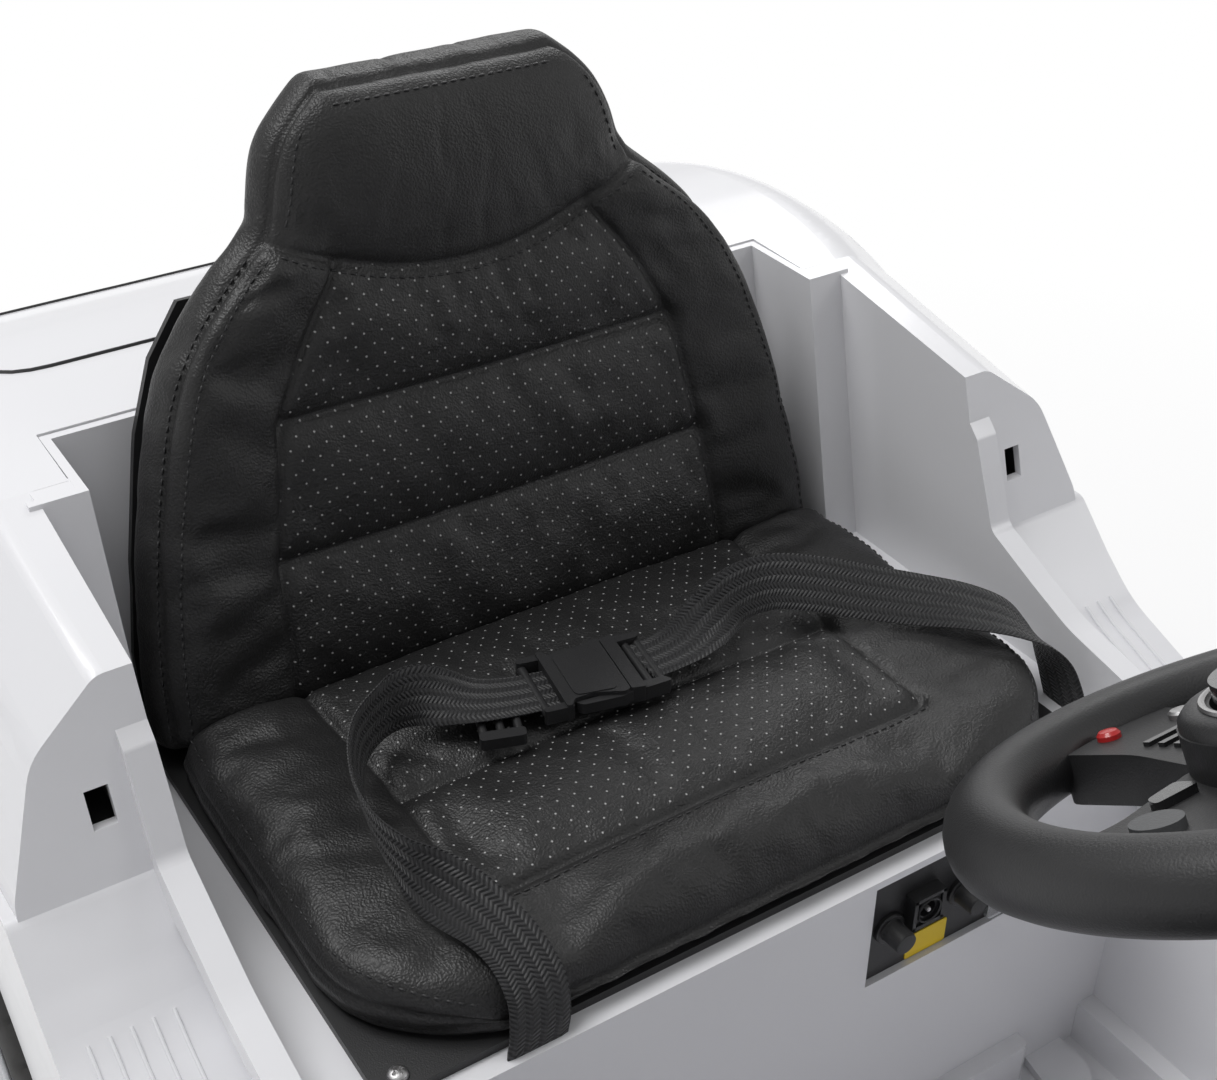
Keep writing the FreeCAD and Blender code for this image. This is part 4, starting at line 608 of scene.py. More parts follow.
cushion = {
    "outlineAt": ((0.0, 0.172), (0.030, 0.174), (0.140, 0.175), (0.157, 0.172), (0.170, 0.165), (0.180, 0.156),
                  (0.188, 0.146), (0.194, 0.134), (0.198, 0.122)),  # depth and half width
    "panelAt": ((0.0, 0.115), (0.083, 0.109), (0.153, 0.110), (0.198, 0.085)), "outlineEase": 0.003,
    "panelEase": 0.004, "start": 0.004, "channel": 0.086, "frontSeam": 0.153, "depth": 0.198, "rim": 0.002,
    "bandTop": -0.001, "floor": -0.0118, "top": 0.0125, "crown": 0.002, "bolster": 0.0035, "dip": 0.0035,
    "frontDip": 0.0025, "dipWidth": 0.006, "frontWidth": 0.005, "rollPower": 2.4, "sideRound": 0.016,
    "frontRound": 0.040, "frontLow": -0.006, "columns": (11, 38)}
seatFolds = ((-0.03, -0.168, -0.012, -0.192, 0.006, -0.0016), (0.052, -0.170, 0.058, -0.190, 0.007, -0.0012),
             (-0.118, -0.05, -0.165, -0.058, 0.007, -0.0012), (-0.118, -0.12, -0.16, -0.10, 0.007, -0.0014),
             (-0.12, -0.160, -0.15, -0.178, 0.006, -0.0018), (0.118, -0.07, 0.162, -0.066, 0.008, -0.0012),
             (0.116, -0.150, 0.150, -0.172, 0.007, -0.0014), (0.118, -0.010, 0.155, -0.022, 0.006, -0.0016))


def cushionOutline(row):
    return eased(cushion["outlineAt"], row, cushion["outlineEase"])


def cushionPanel(row):
    return eased(cushion["panelAt"], row, cushion["panelEase"])


def cushionRise(x, row):
    wide, panel = cushionOutline(row), cushionPanel(row)
    rise = cushion["top"]
    if abs(x) <= panel + near:
        rise += cushion["crown"] * (1 - (x / panel) ** 2)
        rise -= cushion["dip"] * hollow(row - cushion["channel"], cushion["dipWidth"])
        rise -= cushion["frontDip"] * hollow(row - cushion["frontSeam"], cushion["frontWidth"])
    else:
        rise += cushion["bolster"] * math.sin(math.pi * (abs(x) - panel) / (wide - panel))
    rise = cushion["rim"] + (rise - cushion["rim"]) * roundOff((wide - abs(x)) / cushion["sideRound"])
    rolled = roundOff((cushion["depth"] - row) / cushion["frontRound"], cushion["rollPower"])
    return cushion["frontLow"] + (rise - cushion["frontLow"]) * rolled


def cushionSeam(zone, share, row):
    return seamAt(zone, share, row, cushion["frontSeam"], (cushion["channel"], cushion["frontSeam"]))


seatPad = {"outline": cushionOutline, "panel": cushionPanel, "bend": lambda x, row: -row, "rise": cushionRise,
           "place": onCushion, "seam": cushionSeam, "perforated": lambda row: row < cushion["frontSeam"],
           "band": ((0.3, 0.002), (0.65, 0.003), (1.0, 0.0)), "rim": cushion["bandTop"], "floor": cushion["floor"]}


def flatSeat(spots):
    return spots[:, 0], spots[:, 1] - seat["seamY"], spots[:, 2] - seat["seamZ"]


def makeSeatPad():
    marks = (cushion["start"], cushion["channel"], cushion["frontSeam"], cushion["depth"])
    mesh, seams = padMesh("seatPad", seatPad, filled(marks, seat["grid"]), *cushion["columns"])
    mesh.flip_normals()
    piece = addPiece("seatPad", mesh, "chassis", "seat_leather", finishes["seat_leather"], panelSeat)
    puffed(piece, seams)
    sewn(piece, seatFolds, flatSeat)
    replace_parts(piece, "seat_cushion")
    return piece


thread = {"length": 0.0030, "pitch": 0.0044, "radius": 0.00042, "sides": 5, "flat": 1.3, "above": 0.08,
          "rings": ((-1, 0.35, -0.3), (-0.6, 1.0, 0.55), (0.6, 1.0, 0.55), (1, 0.35, -0.3)),  # place, size, lift
          "shortest": 1e-6, "longest": 0.03}
stitch = {"step": 0.004, "backSteps": 65, "backInset": 0.0075, "edgeInset": 0.0005, "belowHead": (0.0, 0.198),
          "inHead": (0.206, 0.248), "headInset": 0.006, "underHead": 0.0042, "topHalf": 0.050, "top": 0.2505,
          "seatStart": 0.008, "seatSteps": 47, "seatInset": 0.0065, "frontHalf": 0.109, "pastFront": 0.004}


def threadPoints(middle, way, normal):
    side = way.cross(normal).normalized()
    points = []
    for share, size, lift in thread["rings"]:
        centre = middle + way * (thread["length"] / 2 * share) + normal * (thread["radius"] * lift)
        for turn in turnsOf(thread["sides"]):
            ring = (side * math.cos(turn) * thread["flat"] + normal * math.sin(turn)) * thread["radius"] * size
            points.append(centre + ring)
    return points


def stitched(name, pad, lines, cast):  # little threads laid along lines on a pad
    tree = BVHTree.FromObject(pad, bpy.context.evaluated_depsgraph_get())
    points, faces = [], []
    oneThread = gridFaces(len(thread["rings"]), thread["sides"])
    for line in lines:
        hits = [tree.ray_cast(spot - cast * thread["above"], cast) for spot in line]
        hits = [(spot, normal) for spot, normal, _, _ in hits if spot]
        spare = 0.0
        for (a, normal), (b, _) in zip(hits, hits[1:]):
            run = (b - a).length
            if run > thread["longest"] or run < thread["shortest"]:
                continue
            while spare < run:
                faces += [tuple(len(points) + corner for corner in face) for face in oneThread]
                points += threadPoints(a.lerp(b, spare / run), (b - a).normalized(), normal)
                spare += thread["pitch"]
            spare -= run
    return addPiece(name, meshOf(name, points, faces), "chassis", "belt_webbing", finishes["black_plastic"])


def spread(half, count):  # places from side to side
    return [half * k / count for k in range(-count, count + 1)]


def backStitchLines():
    steps = [k * stitch["step"] for k in range(1, stitch["backSteps"])]
    runs = ((stitch["backInset"], *stitch["belowHead"]), (stitch["backInset"], *stitch["inHead"]),
            (stitch["edgeInset"], *stitch["belowHead"]))
    lines = [[onBack(side * (backOutline(row) - inset), row, 0.0) for row in steps if low < row < high]
             for side in (-1, 1) for inset, low, high in runs]
    head = backRest["headRow"]
    wide = backOutline(head) - stitch["headInset"]
    lines.append([onBack(x, backBend(x, head) - stitch["underHead"], 0.0) for x in spread(wide, 24)])
    lines.append([onBack(x, stitch["top"], 0.0) for x in spread(stitch["topHalf"], 20)])
    return lines, Vector((0, math.cos(seat["lean"]), -math.sin(seat["lean"])))


def seatStitchLines():
    steps = [stitch["seatStart"] + k * stitch["step"] for k in range(stitch["seatSteps"])]
    lines = [[onCushion(side * (cushionOutline(row) - stitch["seatInset"]), -row, 0.0) for row in steps]
             for side in (-1, 1)]
    front = -cushion["frontSeam"] - stitch["pastFront"]
    lines.append([onCushion(x, front, 0.0) for x in spread(stitch["frontHalf"], 26)])
    return lines, Vector((0, 0, -1))


backCover = makeBackPad()
seatCover = makeSeatPad()
stitched("backStitching", backCover, *backStitchLines())
stitched("seatStitching", seatCover, *seatStitchLines())
print("seat upholstered")


class Shape:  # a heap of small solids that make one mesh
    sharp, shadeSharp = 0.6, math.radians(38)

    def __init__(self):
        self.work = bmesh.new()

    def add(self, points, faces, place=Matrix(), bevel=0.0, segments=2):
        part = bmesh.new()
        corners = [part.verts.new(point) for point in points]
        for face in faces:
            part.faces.new([corners[k] for k in face])
        if bevel:
            edges = [edge for edge in part.edges if edge.calc_face_angle(0.0) > self.sharp]
            bmesh.ops.bevel(part, geom=edges, offset=bevel, segments=segments, profile=0.5, affect="EDGES")
        part.transform(place)
        bmesh.ops.recalc_face_normals(part, faces=part.faces)
        held = bpy.data.meshes.new("held")
        part.to_mesh(held)
        part.free()
        self.work.from_mesh(held)
        bpy.data.meshes.remove(held)

    def slab(self, outline, low, high, place=Matrix(), bevel=0.0006, segments=2):
        count = len(outline)
        points = [(x, y, z) for z in (low, high) for x, y in outline]
        faces = [range(count)[::-1], range(count, 2 * count)] + gridFaces(2, count)
        self.add(points, faces, place, bevel, segments)

    def box(self, middle, size, place=Matrix(), bevel=0.0006, segments=2):
        self.slab(oblong(size[0] / 2, size[1] / 2), -size[2] / 2, size[2] / 2,
                  place @ Matrix.Translation(middle), bevel, segments)

    def lathe(self, profile, place=Matrix(), steps=40):
        points, rings, faces = [], [], []
        for radius, z in profile:
            turns = turnsOf(steps if radius else 1)
            rings.append(range(len(points), len(points) + len(turns)))
            points += [(radius * math.cos(t), radius * math.sin(t), z) for t in turns]
        for a, b in zip(rings, rings[1:]):
            for k in range(steps):
                m = (k + 1) % steps
                face = (a[k % len(a)], a[m % len(a)], b[m % len(b)], b[k % len(b)])
                faces.append(list(dict.fromkeys(face)))  # three corners beside the axis
        self.add(points, faces, place)

    def tube(self, path, radius, steps=12, shut=False):
        points, side = [], None
        for k, spot in enumerate(path):
            first = path[k - 1] if k or shut else spot
            last = path[(k + 1) % len(path)] if k + 1 < len(path) or shut else spot
            way = (Vector(last) - Vector(first)).normalized()
            side = way.orthogonal().normalized() if side is None else (side - way * side.dot(way)).normalized()
            other = way.cross(side)
            points += [Vector(spot) + (side * math.cos(t) + other * math.sin(t)) * radius for t in turnsOf(steps)]
        faces = gridFaces(len(path), steps, shut)
        if not shut:
            faces += [range(steps)[::-1], range(len(points) - steps, len(points))]
        self.add(points, faces)

    def piece(self, name, body, slot, *paints):
        mesh = bpy.data.meshes.new(name)
        self.work.to_mesh(mesh)
        self.work.free()
        mesh.shade_smooth()
        mesh.set_sharp_from_angle(angle=self.shadeSharp)
        return addPiece(name, mesh, body, slot, *paints)


def oblong(halfX, halfY):
    return [(-halfX, -halfY), (halfX, -halfY), (halfX, halfY), (-halfX, halfY)]


def mirrored(points, side):  # an outline on one side of the car, turning the same way on both
    return [(side * x, y) for x, y in points][::side]


def rounded(points, radius, steps=4):  # an outline with its corners as arcs
    out = []
    count = len(points)
    for k in range(count):
        here = Vector(points[k])
        back, on = Vector(points[k - 1]) - here, Vector(points[(k + 1) % count]) - here
        reach = min(radius, back.length * 0.45, on.length * 0.45)
        start, end = here + back.normalized() * reach, here + on.normalized() * reach
        for s in range(steps + 1):
            t = s / steps
            out.append(tuple(start * (1 - t) ** 2 + here * (2 * t * (1 - t)) + end * t * t))
    return out


def facing(middle, across, up):  # local x across, local y up, local z out of the face
    across, up = Vector(across).normalized(), Vector(up).normalized()
    return Matrix.Translation(middle) @ Matrix((across, up, across.cross(up))).transposed().to_4x4()


def towardsFront(middle):
    return facing(middle, (1, 0, 0), (0, 0, 1))


def circle(place, radius, count, z):
    return [place @ Vector((radius * math.cos(t), radius * math.sin(t), z)) for t in turnsOf(count)]


webbing = {"width": 0.0255, "thick": 0.0016, "edge": 0.35, "step": 0.002, "columns": 8, "sharp": math.radians(60)}


def curved(knots, step):  # a smooth run through the knots, about a step apart
    out = []
    for k in range(len(knots) - 1):
        a, b, c, d = (Vector(knots[min(max(k + n, 0), len(knots) - 1)]) for n in (-1, 0, 1, 2))
        count = max(2, int((c - b).length / step))
        for s in range(count):
            t = s / count
            out.append(((b * 2) + (c - a) * t + (a * 2 - b * 5 + c * 4 - d) * t * t
                        + (b * 3 - a - c * 3 + d) * t ** 3) * 0.5)
    return out + [Vector(knots[-1])]


def strap(name, knots, replaced):
    both = curved([tuple(v / 1000 for v in place) + tuple(way) for place, way in knots], webbing["step"])
    path = [Vector(k[:3]) for k in both]
    points, flat = [], []
    columns, run = webbing["columns"], 0.0
    for k, spot in enumerate(path):
        way = (path[min(k + 1, len(path) - 1)] - path[max(k - 1, 0)]).normalized()
        across = Vector(both[k][3:6])
        across = (across - way * across.dot(way)).normalized()
        up = way.cross(across)
        run += (spot - path[k - 1]).length if k else 0.0
        for face in (1, -1):
            for j in range(columns + 1):
                share = j / columns * 2 - 1
                edge = webbing["edge"] if j in (0, columns) else 1
                place = spot + across * (share * face * webbing["width"] / 2)
                points.append(place + up * (face * edge * webbing["thick"] / 2))
                flat.append(((share * face + 1) / 2 * webbing["width"], run))
    ring = 2 * (columns + 1)
    faces = gridFaces(len(path), ring)
    faces += [tuple(range(ring))[::-1], tuple(range(len(points) - ring, len(points)))]
    mesh = meshOf(name, points, faces)
    spreadOut = mesh.uv_layers.new(name="flat")
    for loop in mesh.loops:
        spreadOut.data[loop.index].uv = flat[loop.vertex_index]
    mesh.set_sharp_from_angle(angle=webbing["sharp"])
    piece = addPiece(name, mesh, "chassis", "belt_webbing")
    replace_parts(piece, replaced)
    return piece


# Knots are places in millimetres with the way that the strap's width points there.
strapRight = (((-28, 236, 312), (0.16, 0.99, 0)), ((-44, 239, 313), (0.16, 0.99, 0.02)),
              ((-60, 242, 316), (0.2, 0.96, 0.15)), ((-74, 246, 321), (0.25, 0.8, 0.55)),
              ((-87, 249, 325), (0.2, 0.45, 0.87)), ((-101, 247, 325), (0.05, 0.15, 0.98)),
              ((-118, 235, 324.5), (-0.12, 0.05, 0.99)), ((-130, 212, 324.5), (-0.2, 0.03, 0.98)),
              ((-135, 188, 324), (-0.15, 0.0, 0.99)), ((-133, 167, 322), (0.1, 0.1, 0.98)),
              ((-125, 151, 317.5), (0.6, 0.35, 0.7)), ((-117, 137, 312), (0.9, 0.35, 0.2)),
              ((-112, 123, 305), (0.97, 0.24, 0)), ((-111, 110.5, 296), (0.99, 0.12, 0)),
              ((-113, 104.5, 285), (1, 0.03, 0)), ((-115, 103.5, 275), (1, 0, 0)), ((-115, 103.5, 269), (1, 0, 0)))
strapLeft = (((14, 231, 312), (0.08, 1, 0)), ((27, 230.5, 312.5), (0.1, 0.99, 0.03)),
             ((40, 231, 315), (0.2, 0.93, 0.25)), ((54, 234, 319), (0.35, 0.72, 0.6)),
             ((70, 238, 323), (0.35, 0.5, 0.8)), ((88, 236, 324), (0.35, 0.5, 0.8)),
             ((106, 226, 322), (0.4, 0.55, 0.73)), ((124, 211, 319.5), (0.45, 0.6, 0.65)),
             ((142, 195, 318), (0.52, 0.68, 0.5)), ((158, 180, 317), (0.58, 0.75, 0.3)),
             ((171, 168, 313), (0.5, 0.82, 0.1)), ((180.5, 158, 304.5), (0.3, 0.9, -0.15)),
             ((185, 150, 294), (0.1, 0.84, -0.45)), ((186, 144, 284), (0, 0.86, -0.5)),
             ((186, 138, 273), (0, 0.87, -0.48)))
strap("beltRight", strapRight, "belt_right")
strap("beltLeft", strapLeft, "belt_left")

buckle = {  # outlines are from an end: how far along, and how far in from the side
    "middle": (-0.007, 0.2335, 0.3075), "turn": math.radians(-10), "half": 0.0195,
    "ends": {"left": -0.0265, "joint": 0.008, "right": 0.0265}, "barZ": 0.0042, "barSteps": 14,
    "body": (("left", 0.0055, 0), ("left", 0.008, 0), ("left", 0.010, 0.0035), ("left", 0.019, 0.0042),
             ("joint", -0.006, 0.0012), ("joint", -0.003, 0), ("joint", 0, 0.001)),
    "raised": (("left", 0.011, 0.005), ("joint", -0.005, 0.003)),
    "socketArm": (("left", -0.004, 0.0035), ("left", 0.009, 0.0045), ("left", 0.009, 0), ("left", -0.004, 0.0005)),
    "socketBars": ((("left", -0.002),), 0.002, 0.0021),  # places, how far in from the sides, radius
    "cross": (("joint", 0.0006, 0.001), ("joint", 0.007, 0)),
    "prong": (("left", 0.010, 0.0035), ("left", 0.013, 0.0004), ("joint", -0.004, -0.0006), ("joint", 0.002, 0.001),
              ("joint", 0.002, 0.0032)),
    "tongueArm": (("joint", 0.006, 0.005), ("right", -0.001, 0.0045), ("right", 0.001, 0.001), ("joint", 0.006, 0)),
    "tongueBars": ((("right", -0.0015), ("joint", 0.0115)), 0.0025, 0.0019),
    # each slab's corner and its steps, bottom, top, edge and its steps
    "slabs": {"body": (0.0012, 3, 0.0005, 0.009, 0.0009, 3), "raised": (0.003, 4, 0.009, 0.0095, 0.0004, 2),
              "cross": (0.001, 4, 0.0008, 0.0088, 0.0009, 3), "socketArm": (0.0012, 4, 0.001, 0.008, 0.0009, 3),
              "prong": (0.0012, 4, 0.0018, 0.007, 0.0008, 3), "tongueArm": (0.0014, 4, 0.001, 0.0078, 0.001, 3)}}
slider = {"offset": (-0.048, -0.005, 0.0), "turn": math.radians(-9), "bars": (-0.0075, 0.0, 0.0075),
          "radius": 0.0019, "half": 0.0165, "barZ": 0.0026, "bow": 0.0006, "steps": 6, "sides": (-0.0172, 0.0172),
          "sideHalf": (0.0098, 0.0028), "sideZ": (0.0002, 0.0056), "sideCorner": 0.002, "sideEdge": 0.0012}


def buckleOutline(key, side=1):
    points = [(buckle["ends"][end] + x, side * (buckle["half"] - inset)) for end, x, inset in buckle[key]]
    return points[::side]


def buckleWhole(key):  # an outline that is the same on both sides
    points = buckleOutline(key)
    return [(x, -y) for x, y in points] + points[::-1]


def buckleSlab(shape, place, key, side=0):
    corner, steps, low, high, edge, segments = buckle["slabs"][key]
    outline = buckleOutline(key, side) if side else buckleWhole(key)
    shape.slab(rounded(outline, corner, steps), low, high, place, edge, segments)


def buckleBars(shape, place, key):
    bars, inset, radius = buckle[key]
    half = buckle["half"] - inset
    for end, x in bars:
        ends = [place @ Vector((buckle["ends"][end] + x, y, buckle["barZ"])) for y in (-half, half)]
        shape.tube(ends, radius, buckle["barSteps"])


def makeBuckle():
    place = Matrix.Translation(buckle["middle"]) @ Matrix.Rotation(buckle["turn"], 4, "Z")
    socket, tongue, slide = Shape(), Shape(), Shape()
    buckleSlab(socket, place, "body")
    buckleSlab(socket, place, "raised")
    buckleSlab(tongue, place, "cross")
    for side in (-1, 1):
        buckleSlab(socket, place, "socketArm", side)
        buckleSlab(tongue, place, "prong", side)
        buckleSlab(tongue, place, "tongueArm", side)
    buckleBars(socket, place, "socketBars")
    buckleBars(tongue, place, "tongueBars")
    turned = place @ Matrix.Translation(slider["offset"]) @ Matrix.Rotation(slider["turn"], 4, "Z")
    shares = [k / slider["steps"] for k in range(slider["steps"] + 1)]
    bow = [(slider["half"] * (2 * share - 1), slider["barZ"] + slider["bow"] * math.sin(math.pi * share))
           for share in shares]
    for x in slider["bars"]:
        slide.tube([turned @ Vector((x, y, z)) for y, z in bow], slider["radius"])
    for y in slider["sides"]:
        side = [(x, y + along) for x, along in oblong(*slider["sideHalf"])]
        slide.slab(rounded(side, slider["sideCorner"]), *slider["sideZ"], turned, slider["sideEdge"], 3)
    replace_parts(socket.piece("buckleSocket", "chassis", "black_plastic"), "buckle_socket")
    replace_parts(tongue.piece("buckleTongue", "chassis", "black_plastic"), "buckle_tongue")
    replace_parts(slide.piece("beltAdjuster", "chassis", "black_plastic"), "belt_adjuster")


makeBuckle()
screwHead = {"radius": 0.0040, "dome": 0.0021, "slot": 0.0007, "reach": 0.0024, "depth": 0.0014, "under": -0.0008,
             "rim": ((0.0040, 0.0), (0.00408, -0.0004), (0.0040, -0.001)), "above": 0.0006, "turn": 0.4}


def turnedFaces(rows, ring, shut=False):  # the same faces, wound the other way from the same corner
    return [(a, d, c, b) for a, b, c, d in gridFaces(rows, ring, shut)]


def crossHead(shape, place, steps=56, rings=16):  # a domed head with a cross-shaped recess
    points = []
    for r in range(rings + 1):
        radius = screwHead["radius"] * r / rings
        dome = screwHead["dome"] * (1 - (radius / screwHead["radius"]) ** 2) ** 0.5
        for turn in turnsOf(steps if r else 1):
            x, y = radius * math.cos(turn), radius * math.sin(turn)
            near, far = sorted((abs(x), abs(y)))
            inCross = near < screwHead["slot"] and far < screwHead["reach"]
            points.append((x, y, dome - (screwHead["depth"] if inCross else 0.0)))
    faces = [(0, 1 + k, 1 + (k + 1) % steps) for k in range(steps)]
    faces += [tuple(1 + corner for corner in face) for face in turnedFaces(rings, steps)]
    points += [(x, y, screwHead["under"]) for x, y, _ in points[-steps:]]
    faces.append(range(len(points) - steps, len(points))[::-1])
    shape.add(points, faces, place)
    shape.lathe(screwHead["rim"], place)


def makeSeatScrews():
    heads = Shape()
    low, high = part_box("seat_screws")
    y, z = (low[1] + high[1]) / 2, low[2] + screwHead["above"]
    for x in (low[0] + screwHead["radius"], high[0] - screwHead["radius"]):
        crossHead(heads, Matrix.Translation((x, y, z)) @ Matrix.Rotation(screwHead["turn"], 4, "Z"))
    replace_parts(heads.piece("seatScrewHeads", "chassis", "bare_steel"), "seat_screws")


makeSeatScrews()
charging = {"wallY": 0.1030, "plate": (0.0770, 0.2205), "plateHalf": (0.01125, 0.00675), "plateThick": 0.0005,
            "pegs": (0.0538, 0.0941), "pegZ": 0.2404,
            "peg": ((0.0076, 0.0), (0.0076, 0.0016), (0.0070, 0.0022), (0.0057, 0.0023), (0.0053, 0.0030),
                    (0.0052, 0.0112), (0.0047, 0.0121), (0.0, 0.0123)),
            "jackRim": ((0.0056, 0.0014), (0.0062, 0.0018), (0.0066, 0.0012), (0.0066, -0.0005)),
            "jackPin": ((0.0012, -0.004), (0.0012, 0.0006), (0.0008, 0.0012), (0.0, 0.0013)),
            "jackEdge": 0.0018, "jackInset": 0.0008, "jackOut": 0.0004, "jackSoft": 0.0005, "plateCorner": 0.0012,
            "plateEdge": 0.0001}


def makeChargingDetails():
    plate, trim, jack, pin = Shape(), Shape(), Shape(), Shape()
    out = towardsFront((0, charging["wallY"], 0))
    plate.slab(rounded(oblong(*charging["plateHalf"]), charging["plateCorner"]), 0.0, charging["plateThick"],
               out @ Matrix.Translation((*charging["plate"], 0)), charging["plateEdge"], 1)
    for x in charging["pegs"]:
        trim.lathe(charging["peg"], out @ Matrix.Translation((x, charging["pegZ"], 0)))
    low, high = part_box("charge_socket")
    spot = towardsFront(((low[0] + high[0]) / 2, low[1], (low[2] + high[2]) / 2))
    side, edge = (high[0] - low[0]) / 2, charging["jackEdge"]
    for turn in range(4):
        jack.box((0, side - charging["jackInset"], charging["jackOut"]), (side * 2, edge, edge),
                 spot @ Matrix.Rotation(turn * math.pi / 2, 4, "Z"), charging["jackSoft"])
    jack.lathe(charging["jackRim"], spot, 32)
    pin.lathe(charging["jackPin"], spot, 20)
    plate.piece("blankPlate", "chassis", "grey_plastic", plateYellow)
    trim.piece("chargePegCollars", "chassis", "black_plastic")
    jack.piece("jackFrame", "chassis", "black_plastic")
    pin.piece("jackPin", "chassis", "bare_steel")


makeChargingDetails()
print("belts, buckle and charging panel dressed")


def treeOf(*names):
    graph = bpy.context.evaluated_depsgraph_get()
    return [BVHTree.FromObject(nodes[name], graph) for name in names]


def struck(trees, start, way):  # the nearest hit on any of the trees
    hits = [tree.ray_cast(Vector(start), Vector(way).normalized())[:2] for tree in trees]
    hits = [hit for hit in hits if hit[0]]
    return min(hits, key=lambda hit: (hit[0] - Vector(start)).length) if hits else None


def laid(trees, starts, way, lift):
    found = [struck(trees, start, way) for start in starts]
    return [hit + normal * lift for hit, normal in (f for f in found if f)]


def span(x0, x1, y0, y1):
    return [(x0, y0), (x1, y0), (x1, y1), (x0, y1)]


def rectangle(x0, x1, y0, y1, radius, steps=6, fill=0.012):  # a rounded loop with points close together
    corners = rounded(span(x0, x1, y0, y1), radius, steps)
    out = []
    for a, b in zip(corners, corners[1:] + corners[:1]):
        count = max(1, int((Vector(b) - Vector(a)).length / fill))
        out += [tuple(Vector(a).lerp(Vector(b), k / count)) for k in range(count)]
    return out


edgeRound = {"cockpit_tub": 0.0022, "rear_body": 0.0018, "front_body": 0.0018, "door_left": 0.0025,
             "door_right": 0.0025, "bumpers": 0.003, "dashboard": 0.003, "charge_panel": 0.0007,
             "seat_shell": 0.0015, "mirror_housings": 0.003, "pedal": 0.0015, "windscreen": 0.0012, "grille": 0.001}
softEdge = {"flat": math.radians(1.5), "from": math.radians(32), "segments": 3}


def softenEdges():
    for name, width in edgeRound.items():
        flatten = nodes[name].modifiers.new("flatten", "DECIMATE")
        flatten.decimate_type = "DISSOLVE"
        flatten.angle_limit = softEdge["flat"]
        soft = nodes[name].modifiers.new("soft", "BEVEL")
        soft.width, soft.segments = width, softEdge["segments"]
        soft.limit_method, soft.angle_limit = "ANGLE", softEdge["from"]
        soft.use_clamp_overlap = True
        nodes[name].data.shade_smooth()
        nodes[name].modifiers.new("shade", "WEIGHTED_NORMAL").keep_sharp = True


tyre = {"radius": 0.120, "bore": 0.0775, "half": 0.030, "groove": 0.0042, "blocks": 36, "steps": 360,
        "wall": ((0.004, 0.0), (0.001, 0.002), (0.0015, 0.008), (0.0, 0.014), (0.0, 0.022), (0.001, 0.029)),
        "shoulder": ((0.003, 0.007), (0.006, 0.0025)),  # in from the side, then above the bore or below the tread
        "treadInset": 0.0095, "treadSteps": 18, "lean": 0.9, "gap": 0.22, "gapFrom": 0.16,
        "rings": ((0.06, 0.16), (0.52, 0.60)), "fadeFrom": 0.012, "fadeOver": 0.008, "sharp": math.radians(40)}


def tyreProfile():  # (across, radius) from the bore's inner side round the tread
    half, top, low = tyre["half"], tyre["radius"], tyre["bore"]
    side = [(-half + x, low + up) for x, up in tyre["wall"]]
    side += [(-half + x, top - down) for x, down in tyre["shoulder"]]
    inset, steps = tyre["treadInset"], tyre["treadSteps"]
    tread = [(-half + inset + (2 * half - 2 * inset) * k / steps, top) for k in range(steps + 1)]
    return side + tread + [(-x, r) for x, r in reversed(side)]


def makeTyre(name, node, body, centre, outwards):
    profile, steps = tyreProfile(), tyre["steps"]
    points = []
    for k in range(steps):
        turn = k / steps
        angle = 2 * math.pi * turn
        for x, radius in profile:
            share = abs(x) / tyre["half"]
            lean = turn * tyre["blocks"] + share * tyre["lean"]
            inGap = (lean % 1.0) < tyre["gap"] and share > tyre["gapFrom"]
            if inGap or any(low < share < high for low, high in tyre["rings"]):
                fade = smoothStep((radius - tyre["radius"] + tyre["fadeFrom"]) / tyre["fadeOver"])
                radius -= tyre["groove"] * fade
            points.append((centre[0] + x * outwards, centre[1] + radius * math.cos(angle),
                           centre[2] + radius * math.sin(angle)))
    mesh = meshOf(name, points, turnedFaces(steps, len(profile), True))
    mesh.set_sharp_from_angle(angle=tyre["sharp"])
    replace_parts(addPiece(name, mesh, body, "tyre_black"), node)


wheelTrim = {"lip": 0.0765, "lipZ": -0.001, "lipSteps": 90, "lipWire": 0.0022, "bolts": 5, "boltCircle": 0.033,
             "above": 0.02, "bolt": ((0.0062, -0.0005), (0.0062, 0.0008), (0.0046, 0.0012), (0.0042, 0.0040),
                                     (0.0030, 0.0046), (0, 0.0047))}
axles = {"ends": (("front", -0.333), ("rear", 0.364)), "x": 0.240, "z": 0.120}


def makeWheelTrim(name, rimNode, body, centre, outwards):
    trim = Shape()
    low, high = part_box(rimNode)
    face = (high if outwards > 0 else low)[0]
    place = facing((face, centre[1], centre[2]), (0, outwards, 0), (0, 0, 1))
    lip = circle(place, wheelTrim["lip"], wheelTrim["lipSteps"], wheelTrim["lipZ"])
    trim.tube(lip, wheelTrim["lipWire"], 10, True)
    tree, away = treeOf(rimNode), wheelTrim["boltCircle"]
    for k in range(wheelTrim["bolts"]):
        turn = 2 * math.pi * (k + 0.5) / wheelTrim["bolts"]
        start = place @ Vector((away * math.cos(turn), away * math.sin(turn), wheelTrim["above"]))
        spot, _ = struck(tree, start, (-outwards, 0, 0))
        trim.lathe(wheelTrim["bolt"], facing(spot, (0, outwards, 0), (0, 0, 1)), 6)
    trim.piece(name, body, "rim_silver")


def makeWheels():
    for end, y in axles["ends"]:
        for side, outwards in (("left", 1), ("right", -1)):
            body = f"{end}_wheel_{side}"
            centre = (outwards * axles["x"], y, axles["z"])
            makeTyre(f"tyre{end.title()}{side.title()}", f"{end}_tyre_{side}", body, centre, outwards)
            makeWheelTrim(f"wheelTrim{end.title()}{side.title()}", f"{end}_rim_{side}", body, centre, outwards)


